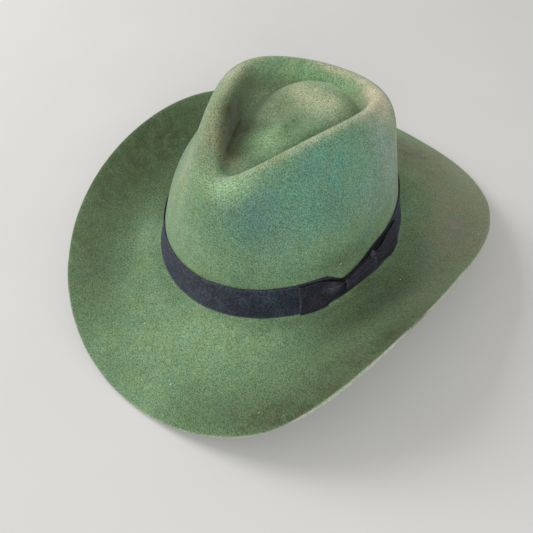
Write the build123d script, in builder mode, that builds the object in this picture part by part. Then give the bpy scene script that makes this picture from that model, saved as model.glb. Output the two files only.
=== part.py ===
"""A wide-brimmed felt hat with a teardrop crown, a ribbon band and a flat bow.

Millimetres. The front faces -Y and the wearer's left is +X. Z = 0 is the table that the front and
the back of the brim rest on. Angles run round the hat in degrees, from the wearer's left (0) over
the back (90). Marks count millimetres along the felt, from 0 where the crown meets the brim: the
brim's edge lies below 0, the crown above it. Depths count millimetres under the felt's top face.
"""

from build123d import *

import os

import numpy as np
from scipy.interpolate import CubicSpline

os.makedirs("parts", exist_ok=True)

# ---------------------------------------------------------------- the felt
FELT = 2.2  # thickness

# The head oval: the outside of the felt where the crown meets the brim.
HEAD_LENGTH = 206.5
HEAD_WIDTH = 181.0
HEAD_TAPER = 0.02  # how much narrower the front half is
BREAK_RADIUS = 2.0  # fillet where the crown meets the brim

# The wall leans in along a straight line and rounds over towards the shoulder oval.
WALL_STRAIGHT = 0.735  # share of the lean that is straight
WALL_BEND = 4  # power of the rest
SHOULDER_LENGTH = 176.5
SHOULDER_WIDTH = 125.0
SHOULDER_TAPER = 0.255
SHOULDER_HEIGHT = 82.0
SHOULDER_SHIFT = 7.1  # towards the back
SHOULDER_SIDE_RISE = 1.2  # the sides rise by this, and the ends sink by it

# The crest is the line along the top of the rounded ridge round the crown.
CREST_LENGTH = 142.5
CREST_WIDTH = 95.0
CREST_TAPER = 0.375
CREST_POINT = 0.043  # how pointed its ends are
CREST_HEIGHT = 101.3
CREST_SHIFT = 8.2
CREST_SIDE_RISE = 10.0
CREST_BACK_RISE = 0.45
RIDGE_HALF = 6.0  # from the crest to either shoulder of the ridge, on the wearer's right
RIDGE_SHARP = 0.6  # the same on the left, where the fold is crisper, as a share of that
RIDGE_DROP = 3.0  # how far those shoulders lie under the crest
RIDGE_FRONT_DROP = 1.4  # the same at the front, where the ridge is a soft lip

# The groove is the foot of the wall inside the ridge.
GROOVE_LENGTH = 123.0
GROOVE_WIDTH = 77.5
GROOVE_TAPER = 0.39
GROOVE_HEIGHT = 83.0
GROOVE_SHIFT = 8.5
GROOVE_FRONT_RISE = 2.3
GROOVE_END_RISE = 1.6

# The island is the raised oval inside the groove.
ISLAND_LENGTH = 102.0
ISLAND_WIDTH = 56.0
ISLAND_TAPER = 0.36
ISLAND_HEIGHT = 88.5
ISLAND_SHIFT = 12.5
ISLAND_BACK_RISE = 2.0
TIP_RADIUS = 3.0  # a small flat in the middle of the island
TIP_HEIGHT = 92.5

# The brim at twelve places round the hat, 30 degrees apart: its width along the felt, and how far
# its edge stands over (or under) the line where the crown meets it.
BRIM_WIDTHS = (63.5, 68.0, 82.0, 89.5, 84.0, 73.5, 68.0, 69.0, 77.5, 85.0, 84.5, 74.5)
BRIM_LIFTS = (26.5, 9.0, -15.5, -28.0, -15.5, 17.0, 28.0, 18.0, -9.5, -27.0, -9.5, 28.5)
BRIM_CURL = 1.5  # power of the rise from the crown to the edge

# ---------------------------------------------------------------- what is sewn to the felt
GAP = 0.3  # air between two sewn layers
RIBBON = 0.7  # thickness of the grosgrain
BAND_FOOT = 1.5  # mark of the band's lower edge
BAND_WIDTH = 25.0
BAND_JOIN = 0.6  # slot where the band's ends meet, under the bow

BOW_ANGLE = 348.0  # middle of the bow
BOW_SPAN = 56.0  # degrees from one loop's fold to the other's
WRAP_SPAN = 16.0
WRAP_WIDTH = 14.0
WRAP_MARK = 17.5  # of the wrap's middle, above the middle of the band
WRAP_THICKNESS = 3.2
LOOP_THICKNESS = 1.8  # two layers of ribbon at the fold
LOOP_SWELL = 1.4  # how much thicker the loop is gathered at the wrap
WRAP_CLEAR = 0.2  # degrees between a loop and the wrap
BACKING_WIDTH = 20.0
BACKING_SHORT = 6.0  # degrees from the loop's fold to the end of the backing

LINING = 0.4
LINING_FOOT = 14.0  # mark of its lower edge, tucked behind the sweatband
LINING_SEAM = 76.0  # mark of the seam between side and tip
PIPING_RADIUS = 0.7

LEATHER = 0.9
SWEATBAND_FOOT = 3.5
SWEATBAND_WIDTH = 38.0
REED_RADIUS = 1.0
TAPE = 0.35
STITCH_RADIUS = 0.3
STITCH_LENGTH = 3.2
STITCH_COUNT = 96
STITCH_UP = 3.0  # from the sweatband's lower edge

SEAM_ANGLE = 90.0  # the sweatband is joined at the back
SEAM_TAPE_SPAN = 7.0
INNER_BOW_SPAN = 16.0
INNER_BOW_HEIGHT = 9.0
INNER_BOW_THICKNESS = 2.0
INNER_BOW_MARK = 12.0
TAG_ANGLE = 112.0
TAG_SPAN = 12.0
TAG_WIDTH = 12.0
TAG_THICKNESS = 0.3
TAG_MARK = 16.0

POINTS = 32  # points round each ring
CORD_WIRES = 7  # along each half of a round cord
WALL_RINGS = 6  # in a strip on the wall
PATCH_CUTS = 5  # in a loop, patch or tape
STEP = 1e-4  # for slopes, in millimetres or degrees
ANGLES = np.arange(POINTS) * 360 / POINTS

# ---------------------------------------------------------------- sizes that follow
BAND_TOP = BAND_FOOT + BAND_WIDTH
BAND_MIDDLE = BAND_FOOT + BAND_WIDTH / 2
# Distances out of the felt's top face.
BAND_OUTER = GAP + RIBBON
BACKING_INNER = BAND_OUTER + GAP
LOOP_INNER = BACKING_INNER + RIBBON + GAP
# The marks that the bow's pieces take their slope from, so that they lie flat on each other.
BOW_CHORD = (BAND_MIDDLE - BACKING_WIDTH / 2, BAND_MIDDLE + BACKING_WIDTH / 2)

# Depths under the felt's top face.
LINING_DEPTH = FELT + GAP
SWEATBAND_DEPTH = LINING_DEPTH + LINING + GAP
INNER_DEPTH = SWEATBAND_DEPTH + LEATHER + GAP  # of what is sewn on the sweatband's face
SWEATBAND_TOP = SWEATBAND_FOOT + SWEATBAND_WIDTH
REED_DEPTH = SWEATBAND_DEPTH + LEATHER / 2
TAPE_BORE = REED_RADIUS + GAP / 2
TAPE_RADIUS = TAPE_BORE + TAPE
REED_DROP = GAP + TAPE_RADIUS  # from the sweatband's lower edge to the middle of the reed
PIPING_DEPTH = LINING_DEPTH + LINING + GAP + PIPING_RADIUS
INNER_BOW_DEPTH = INNER_DEPTH + RIBBON + GAP + INNER_BOW_THICKNESS

STITCH_MARK = SWEATBAND_FOOT + STITCH_UP
SEAM_TAPE_FOOT = STITCH_MARK + STITCH_RADIUS + GAP
SEAM_TAPE_WIDTH = SWEATBAND_TOP - SEAM_TAPE_FOOT
SEAM_TAPE_MARK = SEAM_TAPE_FOOT + SEAM_TAPE_WIDTH / 2


# ---------------------------------------------------------------- the shape of the felt
def around(values, angles):
    """A smooth wave through values that lie evenly round the hat."""
    count = len(values)
    wave = np.zeros(len(angles))
    for place, value in enumerate(values):
        turn = np.radians(angles - 360 * place / count) + 1e-9
        wave += value * np.sin(count * turn / 2) / (count * np.tan(turn / 2))
    return wave


def oval(length, width, taper, shift, height, angles, point=0):
    """An oval ring, narrower in front by its taper and moved back by its shift."""
    turn = np.radians(angles)
    x = width / 2 * np.cos(turn) * (1 + taper * np.sin(turn))
    y = shift + length / 2 * (np.sin(turn) - point * np.sin(3 * turn))
    return np.stack([x, y, height + 0 * turn], axis=-1)


def side_wave(angles):
    """1 at the sides, -1 at the front and the back."""
    return np.cos(np.radians(2 * angles))


def back_wave(angles):
    """1 at the back, -1 at the front."""
    return np.sin(np.radians(angles))


def outward(shape, angles):
    """The level direction straight out of a ring, at each angle."""
    along = shape(angles + STEP) - shape(angles - STEP)
    out = np.stack([along[:, 1], -along[:, 0], 0 * along[:, 0]], axis=-1)
    return out / np.linalg.norm(out, axis=-1, keepdims=True)


def wall(height, angles):
    """The outside of the crown wall at a height over the brim."""
    rise = height / SHOULDER_HEIGHT
    lean = WALL_STRAIGHT * rise + (1 - WALL_STRAIGHT) * rise**WALL_BEND
    return oval(
        HEAD_LENGTH + (SHOULDER_LENGTH - HEAD_LENGTH) * lean,
        HEAD_WIDTH + (SHOULDER_WIDTH - HEAD_WIDTH) * lean,
        HEAD_TAPER + (SHOULDER_TAPER - HEAD_TAPER) * rise**WALL_BEND,
        SHOULDER_SHIFT * rise,
        height + SHOULDER_SIDE_RISE * rise**2 * side_wave(angles),
        angles,
    )


def head_oval(angles):
    return wall(0, angles)


def brim(share, angles):
    """The top of the brim, at a share of the way from the crown to the edge."""
    lift = around(BRIM_LIFTS, angles)
    # The felt is longer than its level reach, because it climbs along the curl.
    climb = BRIM_CURL**2 / (2 * BRIM_CURL - 1) * lift**2
    reach = np.sqrt(around(BRIM_WIDTHS, angles) ** 2 - climb)
    ring = head_oval(angles) + outward(head_oval, angles) * (reach * share)[:, None]
    ring[:, 2] = lift * share**BRIM_CURL
    return ring


def fillet_ring(turn, angles):
    """The fillet between brim and crown: turn 0 is its end on the brim, 90 its end on the wall."""
    out = BREAK_RADIUS * (1 - np.sin(np.radians(turn)))
    up = BREAK_RADIUS * (1 - np.cos(np.radians(turn)))
    return head_oval(angles) + outward(head_oval, angles) * out + np.array([0, 0, up])


def crest(angles):
    height = CREST_HEIGHT + CREST_SIDE_RISE * side_wave(angles)
    height += CREST_BACK_RISE * back_wave(angles)
    length, width, taper = CREST_LENGTH, CREST_WIDTH, CREST_TAPER
    return oval(length, width, taper, CREST_SHIFT, height, angles, CREST_POINT)


def ridge(side, angles):
    """A shoulder of the ridge round the crown: side 1 is outside its crest, -1 inside it."""
    left = (1 + np.cos(np.radians(angles))) / 2
    sharp = 1 + (RIDGE_SHARP - 1) * left
    ring = crest(angles) + outward(crest, angles) * (side * RIDGE_HALF * sharp)[:, None]
    front = ((1 - back_wave(angles)) / 2) ** 3
    ring[:, 2] -= sharp * (RIDGE_DROP + (RIDGE_FRONT_DROP - RIDGE_DROP) * front)
    return ring


def groove(angles):
    rise = GROOVE_FRONT_RISE * back_wave(angles) + GROOVE_END_RISE * side_wave(angles)
    return oval(
        GROOVE_LENGTH, GROOVE_WIDTH, GROOVE_TAPER, GROOVE_SHIFT, GROOVE_HEIGHT - rise, angles
    )


def island(share, angles):
    """The island, from its middle (share 0) to its rim (share 1)."""
    rim = ISLAND_HEIGHT + ISLAND_BACK_RISE * back_wave(angles)
    height = TIP_HEIGHT + (rim - TIP_HEIGHT) * share**2
    length, width, taper = ISLAND_LENGTH * share, ISLAND_WIDTH * share, ISLAND_TAPER * share
    return oval(length, width, taper, ISLAND_SHIFT, height, angles)


def tip(angles):
    return oval(2 * TIP_RADIUS, 2 * TIP_RADIUS, 0, ISLAND_SHIFT, TIP_HEIGHT, angles)


def stations(angles):
    """The rings that shape the felt's top face, by name, from the brim's edge to the tip."""
    rings = {"edge": brim(1, angles)}
    for percent in (75, 50, 26, 10):
        rings[f"brim_{percent}"] = brim(percent / 100, angles)
    for turn in (0, 45, 90):
        rings[f"fillet_{turn}"] = fillet_ring(turn, angles)
    for percent in (10, 25, 42, 62, 81):
        rings[f"wall_{percent}"] = wall(percent / 100 * SHOULDER_HEIGHT, angles)
    rings["shoulder"] = wall(SHOULDER_HEIGHT, angles)
    rings["ridge_out"] = ridge(1, angles)
    rings["crest"] = crest(angles)
    rings["ridge_in"] = ridge(-1, angles)
    rings["groove"] = groove(angles)
    rings["island"] = island(1, angles)
    rings["island_middle"] = island(0.5, angles)
    rings["tip"] = tip(angles)
    return rings


def marks_of(rings):
    """Each ring's mark: the mean length of felt between it and the middle of the fillet."""
    steps = np.linalg.norm(np.diff(list(rings.values()), axis=0), axis=-1).mean(axis=-1)
    marks = dict(zip(rings, np.append(0, np.cumsum(steps))))
    return {name: mark - marks["fillet_45"] for name, mark in marks.items()}


MARK = marks_of(stations(ANGLES))


def felt_top(mark, angles):
    rings = np.array(list(stations(angles).values()))
    return CubicSpline(list(MARK.values()), rings, axis=0)(mark)


def under_felt(mark, depth, angles):
    """Points at a depth under the felt's top face, square to it, in the frame of the crown."""
    if mark == MARK["tip"]:
        return tip(angles) - np.array([0, 0, depth])
    along = felt_top(mark + STEP, angles) - felt_top(mark - STEP, angles)
    across = felt_top(mark, angles + STEP) - felt_top(mark, angles - STEP)
    normal = np.cross(across, along)
    normal /= np.linalg.norm(normal, axis=-1, keepdims=True)
    return felt_top(mark, angles) - depth * normal


def table_frame():
    """The move that sets the brim on Z = 0 and its outline about the Z axis."""
    edge = np.vstack([under_felt(MARK["edge"], depth, np.arange(360.0)) for depth in (0, FELT)])
    low = edge.min(axis=0)
    return -np.array([*(low + edge.max(axis=0))[:2] / 2, low[2]])


TABLE = table_frame()


def ring_at(mark, depth):
    return under_felt(mark, depth, ANGLES) + TABLE


# ---------------------------------------------------------------- closed layers
def wire_through(ring):
    """A smooth closed wire whose parameter is the angle round the hat."""
    points = [Vector(*point) for point in ring]
    steps = list(range(len(points) + 1))
    return Wire([Edge.make_spline(points, periodic=True, parameters=steps)])


def skin(sections, depth):
    """The faces of one side of a layer: each section is a row of marks, lofted smoothly."""
    faces = []
    for marks in sections:
        faces += Shell.make_loft([wire_through(ring_at(mark, depth)) for mark in marks]).faces()
    return faces


def rim(mark, top, bottom):
    """The strip that closes a layer at a mark."""
    pair = [wire_through(ring_at(mark, depth)) for depth in (top, bottom)]
    return Shell.make_loft(pair, ruled=True).faces()


def hoop(sections, top, bottom):
    """A layer that runs round the hat, open at both edges."""
    faces = skin(sections, top) + skin(sections, bottom)
    faces += rim(sections[0][0], top, bottom) + rim(sections[-1][-1], top, bottom)
    return Solid(Shell(faces))


def cap(sections, top, bottom):
    """A layer that is closed over the tip."""
    faces = skin(sections, top) + skin(sections, bottom) + rim(sections[0][0], top, bottom)
    faces += [Face(wire_through(ring_at(MARK["tip"], depth))) for depth in (top, bottom)]
    return Solid(Shell(faces))


def spaced(start, end, count):
    return list(np.linspace(start, end, count))


def cord(ring, radius):
    """A round cord along a ring, lofted in two halves."""
    along = np.roll(ring, -1, axis=0) - np.roll(ring, 1, axis=0)
    out = np.stack([along[:, 1], -along[:, 0], 0 * along[:, 0]], axis=-1)
    out *= radius / np.linalg.norm(out, axis=-1, keepdims=True)
    up = np.array([0, 0, radius])
    faces = []
    for start in (0, np.pi):
        turns = spaced(start, start + np.pi, CORD_WIRES)
        wires = [wire_through(ring + out * np.cos(turn) + up * np.sin(turn)) for turn in turns]
        faces += Shell.make_loft(wires).faces()
    return Solid(Shell(faces))


# Rows of marks with evenly spaced rings, from the brim's edge to the ridge and on to the tip.
# Short sections keep the loft true to the felt where it turns tightly.
CROWN_TOP = [
    spaced(MARK["wall_81"], MARK["ridge_out"], 8),
    spaced(MARK["ridge_out"], MARK["ridge_in"], 5),
    spaced(MARK["ridge_in"], MARK["groove"], 6),
    spaced(MARK["groove"], MARK["island"], 6),
    spaced(MARK["island"], MARK["tip"], 6),
]
BRIM_AND_WALL = [
    spaced(MARK["edge"], MARK["brim_26"], 6),
    spaced(MARK["brim_26"], MARK["fillet_0"], 6),
    spaced(MARK["fillet_0"], MARK["fillet_90"], 3),
    spaced(MARK["fillet_90"], MARK["wall_25"], 5),
    spaced(MARK["wall_25"], MARK["wall_62"], 6),
    spaced(MARK["wall_62"], MARK["wall_81"], 4),
]


def strip(low, high, top, bottom):
    """A hoop of ribbon, leather or cloth on the wall, between two marks and two depths."""
    return hoop([spaced(low, high, WALL_RINGS)], top, bottom)


# ---------------------------------------------------------------- pieces on the wall
def on_wall(mark, angle):
    return Vector(*(under_felt(mark, 0, np.array([angle])) + TABLE)[0])


def across_wall(low, high, angle):
    """A plane that cuts the wall at an angle: X out of the wall, Y up it from the low mark."""
    up = on_wall(high, angle) - on_wall(low, angle)
    along = on_wall(low, angle + STEP) - on_wall(low, angle - STEP)
    out = along.cross(up)
    return Plane(origin=on_wall(low, angle), x_dir=out, z_dir=out.cross(up))


def cut(low, high, angle, inner, outer, chord=None):
    """A strip's cross-section, between two distances out of a chord of the felt's top face."""
    foot, top = chord or (low, high)
    with BuildSketch(across_wall(foot, top, angle)) as section:
        with Locations((inner, low - foot)):
            Rectangle(outer - inner, high - low, align=(Align.MIN, Align.MIN))
    return section.sketch


def level_cuts(middle, span, mark, width, inner, thickness, chord=None):
    """Equal cross-sections over a span of degrees, for a patch with its middle at a mark."""
    low, high = mark - width / 2, mark + width / 2
    angles = spaced(middle - span / 2, middle + span / 2, PATCH_CUTS)
    return [cut(low, high, angle, inner, inner + thickness, chord) for angle in angles]


def loop_cuts(fold, wrapped):
    """A bow loop, from the angle of its flat fold to where the wrap gathers it."""
    sections = []
    for share in spaced(0, 1, PATCH_CUTS):
        gather = share**2 * (3 - 2 * share)  # rises from 0 to 1, level at both ends
        half = (BAND_WIDTH + (WRAP_WIDTH - BAND_WIDTH) * gather) / 2
        middle = BAND_MIDDLE + (WRAP_MARK - BAND_MIDDLE) * gather
        outer = LOOP_INNER + LOOP_THICKNESS + LOOP_SWELL * gather
        angle = fold + (wrapped - fold) * share
        low, high = middle - half, middle + half
        sections += [cut(low, high, angle, LOOP_INNER, outer, BOW_CHORD)]
    return sections


# ---------------------------------------------------------------- felt, band and bow
felt_shape = cap(BRIM_AND_WALL + CROWN_TOP, 0, FELT)
with BuildPart() as felt_body:
    add(felt_shape)
felt_body.part.label = "felt_body"
export_step(felt_body.part, "parts/felt_body.step")

band_shape = strip(BAND_FOOT, BAND_TOP, -BAND_OUTER, -GAP)
with BuildPart() as hat_band:
    add(band_shape)
    # The ribbon's two ends meet here, under the bow.
    with BuildSketch(across_wall(BAND_FOOT, BAND_TOP, BOW_ANGLE)):
        with Locations((BAND_OUTER / 2, BAND_WIDTH / 2)):
            Rectangle(2 * BAND_OUTER, 2 * BAND_WIDTH)
    extrude(amount=BAND_JOIN / 2, both=True, mode=Mode.SUBTRACT)
hat_band.part.label = "hat_band"
export_step(hat_band.part, "parts/hat_band.step")

with BuildPart() as bow_backing:
    loft(
        level_cuts(
            BOW_ANGLE, BOW_SPAN - 2 * BACKING_SHORT, BAND_MIDDLE, BACKING_WIDTH, BACKING_INNER, RIBBON
        )
    )
bow_backing.part.label = "bow_backing"
export_step(bow_backing.part, "parts/bow_backing.step")

with BuildPart() as bow_front_loop:
    loft(loop_cuts(BOW_ANGLE - BOW_SPAN / 2, BOW_ANGLE - WRAP_SPAN / 2 - WRAP_CLEAR))
bow_front_loop.part.label = "bow_front_loop"
export_step(bow_front_loop.part, "parts/bow_front_loop.step")

with BuildPart() as bow_rear_loop:
    loft(loop_cuts(BOW_ANGLE + BOW_SPAN / 2, BOW_ANGLE + WRAP_SPAN / 2 + WRAP_CLEAR))
bow_rear_loop.part.label = "bow_rear_loop"
export_step(bow_rear_loop.part, "parts/bow_rear_loop.step")

with BuildPart() as bow_wrap:
    loft(
        level_cuts(
            BOW_ANGLE, WRAP_SPAN, WRAP_MARK, WRAP_WIDTH, LOOP_INNER, WRAP_THICKNESS, BOW_CHORD
        )
    )
bow_wrap.part.label = "bow_wrap"
export_step(bow_wrap.part, "parts/bow_wrap.step")


# ---------------------------------------------------------------- lining
LINING_SIDE = [
    spaced(LINING_FOOT, MARK["wall_62"], 7),
    spaced(MARK["wall_62"], LINING_SEAM - GAP / 2, 5),
]
side_shape = hoop(LINING_SIDE, LINING_DEPTH, LINING_DEPTH + LINING)
with BuildPart() as lining_side:
    add(side_shape)
lining_side.part.label = "lining_side"
export_step(lining_side.part, "parts/lining_side.step")

LINING_TOP = [spaced(LINING_SEAM + GAP / 2, MARK["ridge_out"], 8), *CROWN_TOP[1:]]
tip_shape = cap(LINING_TOP, LINING_DEPTH, LINING_DEPTH + LINING)
with BuildPart() as lining_tip:
    add(tip_shape)
lining_tip.part.label = "lining_tip"
export_step(lining_tip.part, "parts/lining_tip.step")

piping_shape = cord(ring_at(LINING_SEAM, PIPING_DEPTH), PIPING_RADIUS)
with BuildPart() as lining_piping:
    add(piping_shape)
lining_piping.part.label = "lining_piping"
export_step(lining_piping.part, "parts/lining_piping.step")


# ---------------------------------------------------------------- sweatband
sweatband_shape = strip(
    SWEATBAND_FOOT, SWEATBAND_TOP, SWEATBAND_DEPTH, SWEATBAND_DEPTH + LEATHER
)
with BuildPart() as sweatband:
    add(sweatband_shape)
sweatband.part.label = "sweatband"
export_step(sweatband.part, "parts/sweatband.step")

reed_ring = ring_at(SWEATBAND_FOOT, REED_DEPTH) - np.array([0, 0, REED_DROP])
reed_shape = cord(reed_ring, REED_RADIUS)
with BuildPart() as sweatband_reed:
    add(reed_shape)
sweatband_reed.part.label = "sweatband_reed"
export_step(sweatband_reed.part, "parts/sweatband_reed.step")

tape_shape = cord(reed_ring, TAPE_RADIUS)
tape_bore = cord(reed_ring, TAPE_BORE)
with BuildPart() as reed_tape:
    add(tape_shape)
    add(tape_bore, mode=Mode.SUBTRACT)
reed_tape.part.label = "reed_tape"
export_step(reed_tape.part, "parts/reed_tape.step")

with BuildPart() as sweatband_stitches:
    for angle in np.arange(STITCH_COUNT) * 360 / STITCH_COUNT:
        wall_cut = across_wall(STITCH_MARK, SWEATBAND_TOP, angle)
        place = Location(wall_cut) * Location((-(INNER_DEPTH + STITCH_RADIUS), 0, 0))
        with Locations(place):
            Cylinder(STITCH_RADIUS, STITCH_LENGTH)
sweatband_stitches.part.label = "sweatband_stitches"
export_step(sweatband_stitches.part, "parts/sweatband_stitches.step")

with BuildPart() as sweatband_seam_tape:
    loft(
        level_cuts(
            SEAM_ANGLE,
            SEAM_TAPE_SPAN,
            SEAM_TAPE_MARK,
            SEAM_TAPE_WIDTH,
            -(INNER_DEPTH + RIBBON),
            RIBBON,
        )
    )
sweatband_seam_tape.part.label = "sweatband_seam_tape"
export_step(sweatband_seam_tape.part, "parts/sweatband_seam_tape.step")

with BuildPart() as sweatband_bow:
    loft(
        level_cuts(
            SEAM_ANGLE,
            INNER_BOW_SPAN,
            INNER_BOW_MARK,
            INNER_BOW_HEIGHT,
            -INNER_BOW_DEPTH,
            INNER_BOW_THICKNESS,
        )
    )
sweatband_bow.part.label = "sweatband_bow"
export_step(sweatband_bow.part, "parts/sweatband_bow.step")

with BuildPart() as size_tag:
    loft(
        level_cuts(
            TAG_ANGLE, TAG_SPAN, TAG_MARK, TAG_WIDTH, -(INNER_DEPTH + TAG_THICKNESS), TAG_THICKNESS
        )
    )
size_tag.part.label = "size_tag"
export_step(size_tag.part, "parts/size_tag.step")
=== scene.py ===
# %% [markdown]
# # A wide-brimmed felt hat
# A felt hat starts as one cone of felt, which steam and a wooden block turn into a crown and a
# brim. Everything else is soft and is sewn on: the ribbon, the bow, the lining and the sweatband.
# This lesson dresses the hat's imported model. The model is the fixed frame: it says where each
# piece is, and the pieces made here lie exactly there.

# %% Load the frame
import math

import bmesh
import bpy
import numpy as np
from mathutils import Matrix, Vector, noise
from mathutils.bvhtree import BVHTree


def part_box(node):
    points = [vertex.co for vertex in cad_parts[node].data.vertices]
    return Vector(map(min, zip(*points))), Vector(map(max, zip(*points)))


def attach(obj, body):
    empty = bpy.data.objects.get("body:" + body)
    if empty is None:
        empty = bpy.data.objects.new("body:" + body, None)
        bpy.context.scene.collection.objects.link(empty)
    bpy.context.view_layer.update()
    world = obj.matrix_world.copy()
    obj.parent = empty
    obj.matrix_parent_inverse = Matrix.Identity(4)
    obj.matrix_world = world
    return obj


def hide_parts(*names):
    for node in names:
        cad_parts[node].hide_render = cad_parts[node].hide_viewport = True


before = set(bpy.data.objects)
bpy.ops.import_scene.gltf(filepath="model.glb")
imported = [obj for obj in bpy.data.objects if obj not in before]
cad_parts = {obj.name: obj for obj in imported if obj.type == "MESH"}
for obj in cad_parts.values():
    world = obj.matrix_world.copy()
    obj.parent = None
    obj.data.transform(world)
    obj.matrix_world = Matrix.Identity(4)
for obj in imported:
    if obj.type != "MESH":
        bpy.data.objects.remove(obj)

MM = 0.001
TAU = 2 * math.pi
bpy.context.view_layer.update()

# %% [markdown]
# ## Felt coordinates
# Sewn pieces are easiest to make flat and then lay round the hat, as a milliner does. For that
# the felt needs coordinates of its own: a *turn* round the hat, in degrees from the wearer's left
# over the back, and a *mark*, the distance along the felt from the break, where the crown meets
# the brim. The crown has marks above 0, the brim below. Rays from above read the felt's top face.
# A formula for the felt would be shorter, but then the hat would be described twice.

# %% Read the felt's top face
TURN_COUNT = 360
TURNS = np.arange(TURN_COUNT) * 360 / TURN_COUNT
RAY_STEP = 0.4 * MM
MARK_STEP = 0.5 * MM
LOW_MARK = -96 * MM
HIGH_MARK = 200 * MM
MARKS = np.arange(LOW_MARK, HIGH_MARK, MARK_STEP)
SKY = 300 * MM
TINY = 0.001 * MM


def merged_copy(node):
    """A CAD node's mesh is loose triangles, so a copy of it is merged."""
    shape = bmesh.new()
    shape.from_mesh(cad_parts[node].data)
    bmesh.ops.remove_doubles(shape, verts=shape.verts, dist=TINY)
    return shape


felt_tree = BVHTree.FromBMesh(merged_copy("felt_body"))
piping_low, piping_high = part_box("lining_piping")
MIDDLE = (piping_low + piping_high) / 2


def height_at(reach, turn):
    """The felt's height at a level distance from the middle, or None past the brim's edge."""
    out = Vector((math.cos(math.radians(turn)), math.sin(math.radians(turn)), 0))
    above = Vector((MIDDLE.x, MIDDLE.y, SKY)) + out * reach
    spot = felt_tree.ray_cast(above, Vector((0, 0, -1)))[0]
    return None if spot is None else spot.z


def read_profile(turn):
    """Level reaches and heights along the felt, from the middle of the crown to the brim's edge."""
    pairs, reach, step = [], 0.0, RAY_STEP
    while step > TINY:
        height = height_at(reach + step, turn)
        if height is None:
            step /= 2
        else:
            reach += step
            pairs.append((reach, height))
    return np.array([(0.0, height_at(0.0, turn))] + pairs)


band_low, band_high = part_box("hat_band")
BEYOND_BAND = 10 * MM
BREAK_WITHIN = (band_high - band_low).y / 2 + BEYOND_BAND


def marked(profile):
    """The profile's marks: 0 at the break, the outermost place as steep as 45 degrees."""
    steps = np.diff(profile, axis=0)
    along = np.append(0, np.cumsum(np.hypot(steps[:, 0], steps[:, 1])))
    steep = (steps[:, 1] < -steps[:, 0]) & (profile[1:, 0] < BREAK_WITHIN)
    return along[np.nonzero(steep)[0].max()] - along


profiles = [read_profile(turn) for turn in TURNS]
profile_marks = [marked(profile) for profile in profiles]
print("profiles read:", len(profiles))

# %% Make one table of the felt, by turn and mark
def blurred(values, width, axis=0):
    """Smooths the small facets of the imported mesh, round the hat or along the felt."""
    reach = int(3 * width)
    weights = np.exp(-0.5 * (np.arange(-reach, reach + 1) / width) ** 2)
    padding = [(reach, reach) if a == axis else (0, 0) for a in range(values.ndim)]
    padded = np.pad(values, padding, mode="wrap" if axis == 0 else "edge")
    return np.apply_along_axis(np.convolve, axis, padded, weights / weights.sum(), "valid")


EDGE_BLUR = 2.5
EDGE_MARK = blurred(np.array([mark[-1] for mark in profile_marks]), EDGE_BLUR)
TIP_MARK = blurred(np.array([mark[0] for mark in profile_marks]), EDGE_BLUR)
print("brim width, mm:", -EDGE_MARK.max() / MM, "to", -EDGE_MARK.min() / MM)
print("break to tip, mm:", TIP_MARK.min() / MM, "to", TIP_MARK.max() / MM)


SLOPE_FROM = -9  # the slope at the edge is taken over this many points


def on_marks(column):
    """A profile column for every turn on the shared marks, carried on straight past the edge."""
    rows = []
    for profile, mark in zip(profiles, profile_marks):
        values = np.interp(MARKS, mark[::-1], profile[::-1, column])
        past = MARKS < mark[-1]
        rise = profile[-1, column] - profile[SLOPE_FROM, column]
        slope = rise / (mark[-1] - mark[SLOPE_FROM])
        values[past] = profile[-1, column] + slope * (MARKS[past] - mark[-1])
        rows.append(values)
    return np.array(rows)


BLUR_TURNS = 2.0
BLUR_MARKS = 1.5
reaches = blurred(blurred(on_marks(0), BLUR_TURNS), BLUR_MARKS, axis=1)
heights = blurred(blurred(on_marks(1), BLUR_TURNS), BLUR_MARKS, axis=1)


def looked_up(table, turn, mark):
    """A table's value between its turns and marks."""
    row = np.asarray(turn) % 360 * TURN_COUNT / 360
    column = np.clip((np.asarray(mark) - LOW_MARK) / MARK_STEP, 0, len(MARKS) - 1.001)
    low_row, low_column = np.floor(row).astype(int), np.floor(column).astype(int)
    across, along = row - low_row, column - low_column
    rows = [low_row % TURN_COUNT, (low_row + 1) % TURN_COUNT]
    near = table[rows[0], low_column] * (1 - along) + table[rows[0], low_column + 1] * along
    far = table[rows[1], low_column] * (1 - along) + table[rows[1], low_column + 1] * along
    return near * (1 - across) + far * across


def felt_top(turn, mark):
    """Points on the felt's top face."""
    reach, height = looked_up(reaches, turn, mark), looked_up(heights, turn, mark)
    angle = np.radians(turn)
    x, y = MIDDLE.x + reach * np.cos(angle), MIDDLE.y + reach * np.sin(angle)
    return np.stack([x, y, height], -1)


POLE = 12 * MM
SMALL_TURN, SMALL_MARK = 0.5, 1.0 * MM


def felt_out(turn, mark):
    """The direction square out of the felt's top face. It turns to straight up at the tip."""
    across = felt_top(turn + SMALL_TURN, mark) - felt_top(turn - SMALL_TURN, mark)
    along = felt_top(turn, mark + SMALL_MARK) - felt_top(turn, mark - SMALL_MARK)
    out = np.cross(across, along)
    out /= np.linalg.norm(out, axis=-1, keepdims=True) + 1e-12
    near = np.clip(looked_up(reaches, turn, mark) / POLE, 0, 1)[..., None]
    out = out * near + np.array([0, 0, 1]) * (1 - near)
    return out / np.linalg.norm(out, axis=-1, keepdims=True)


def on_felt(turn, mark, out):
    """Points at a distance square out of the felt's top face, or under it where out is negative."""
    return felt_top(turn, mark) + np.asarray(out)[..., None] * felt_out(turn, mark)


print("the front of the brim's edge:", felt_top(np.array([270.0]), EDGE_MARK[270:271]))

# %% [markdown]
# The same coordinates say where each sewn piece lies: the lowest and highest turn, mark and
# distance out of the felt of its solid's corners. So no size is typed twice.

# %% Find where a piece lies
SPAN_CORNERS = 1500


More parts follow.
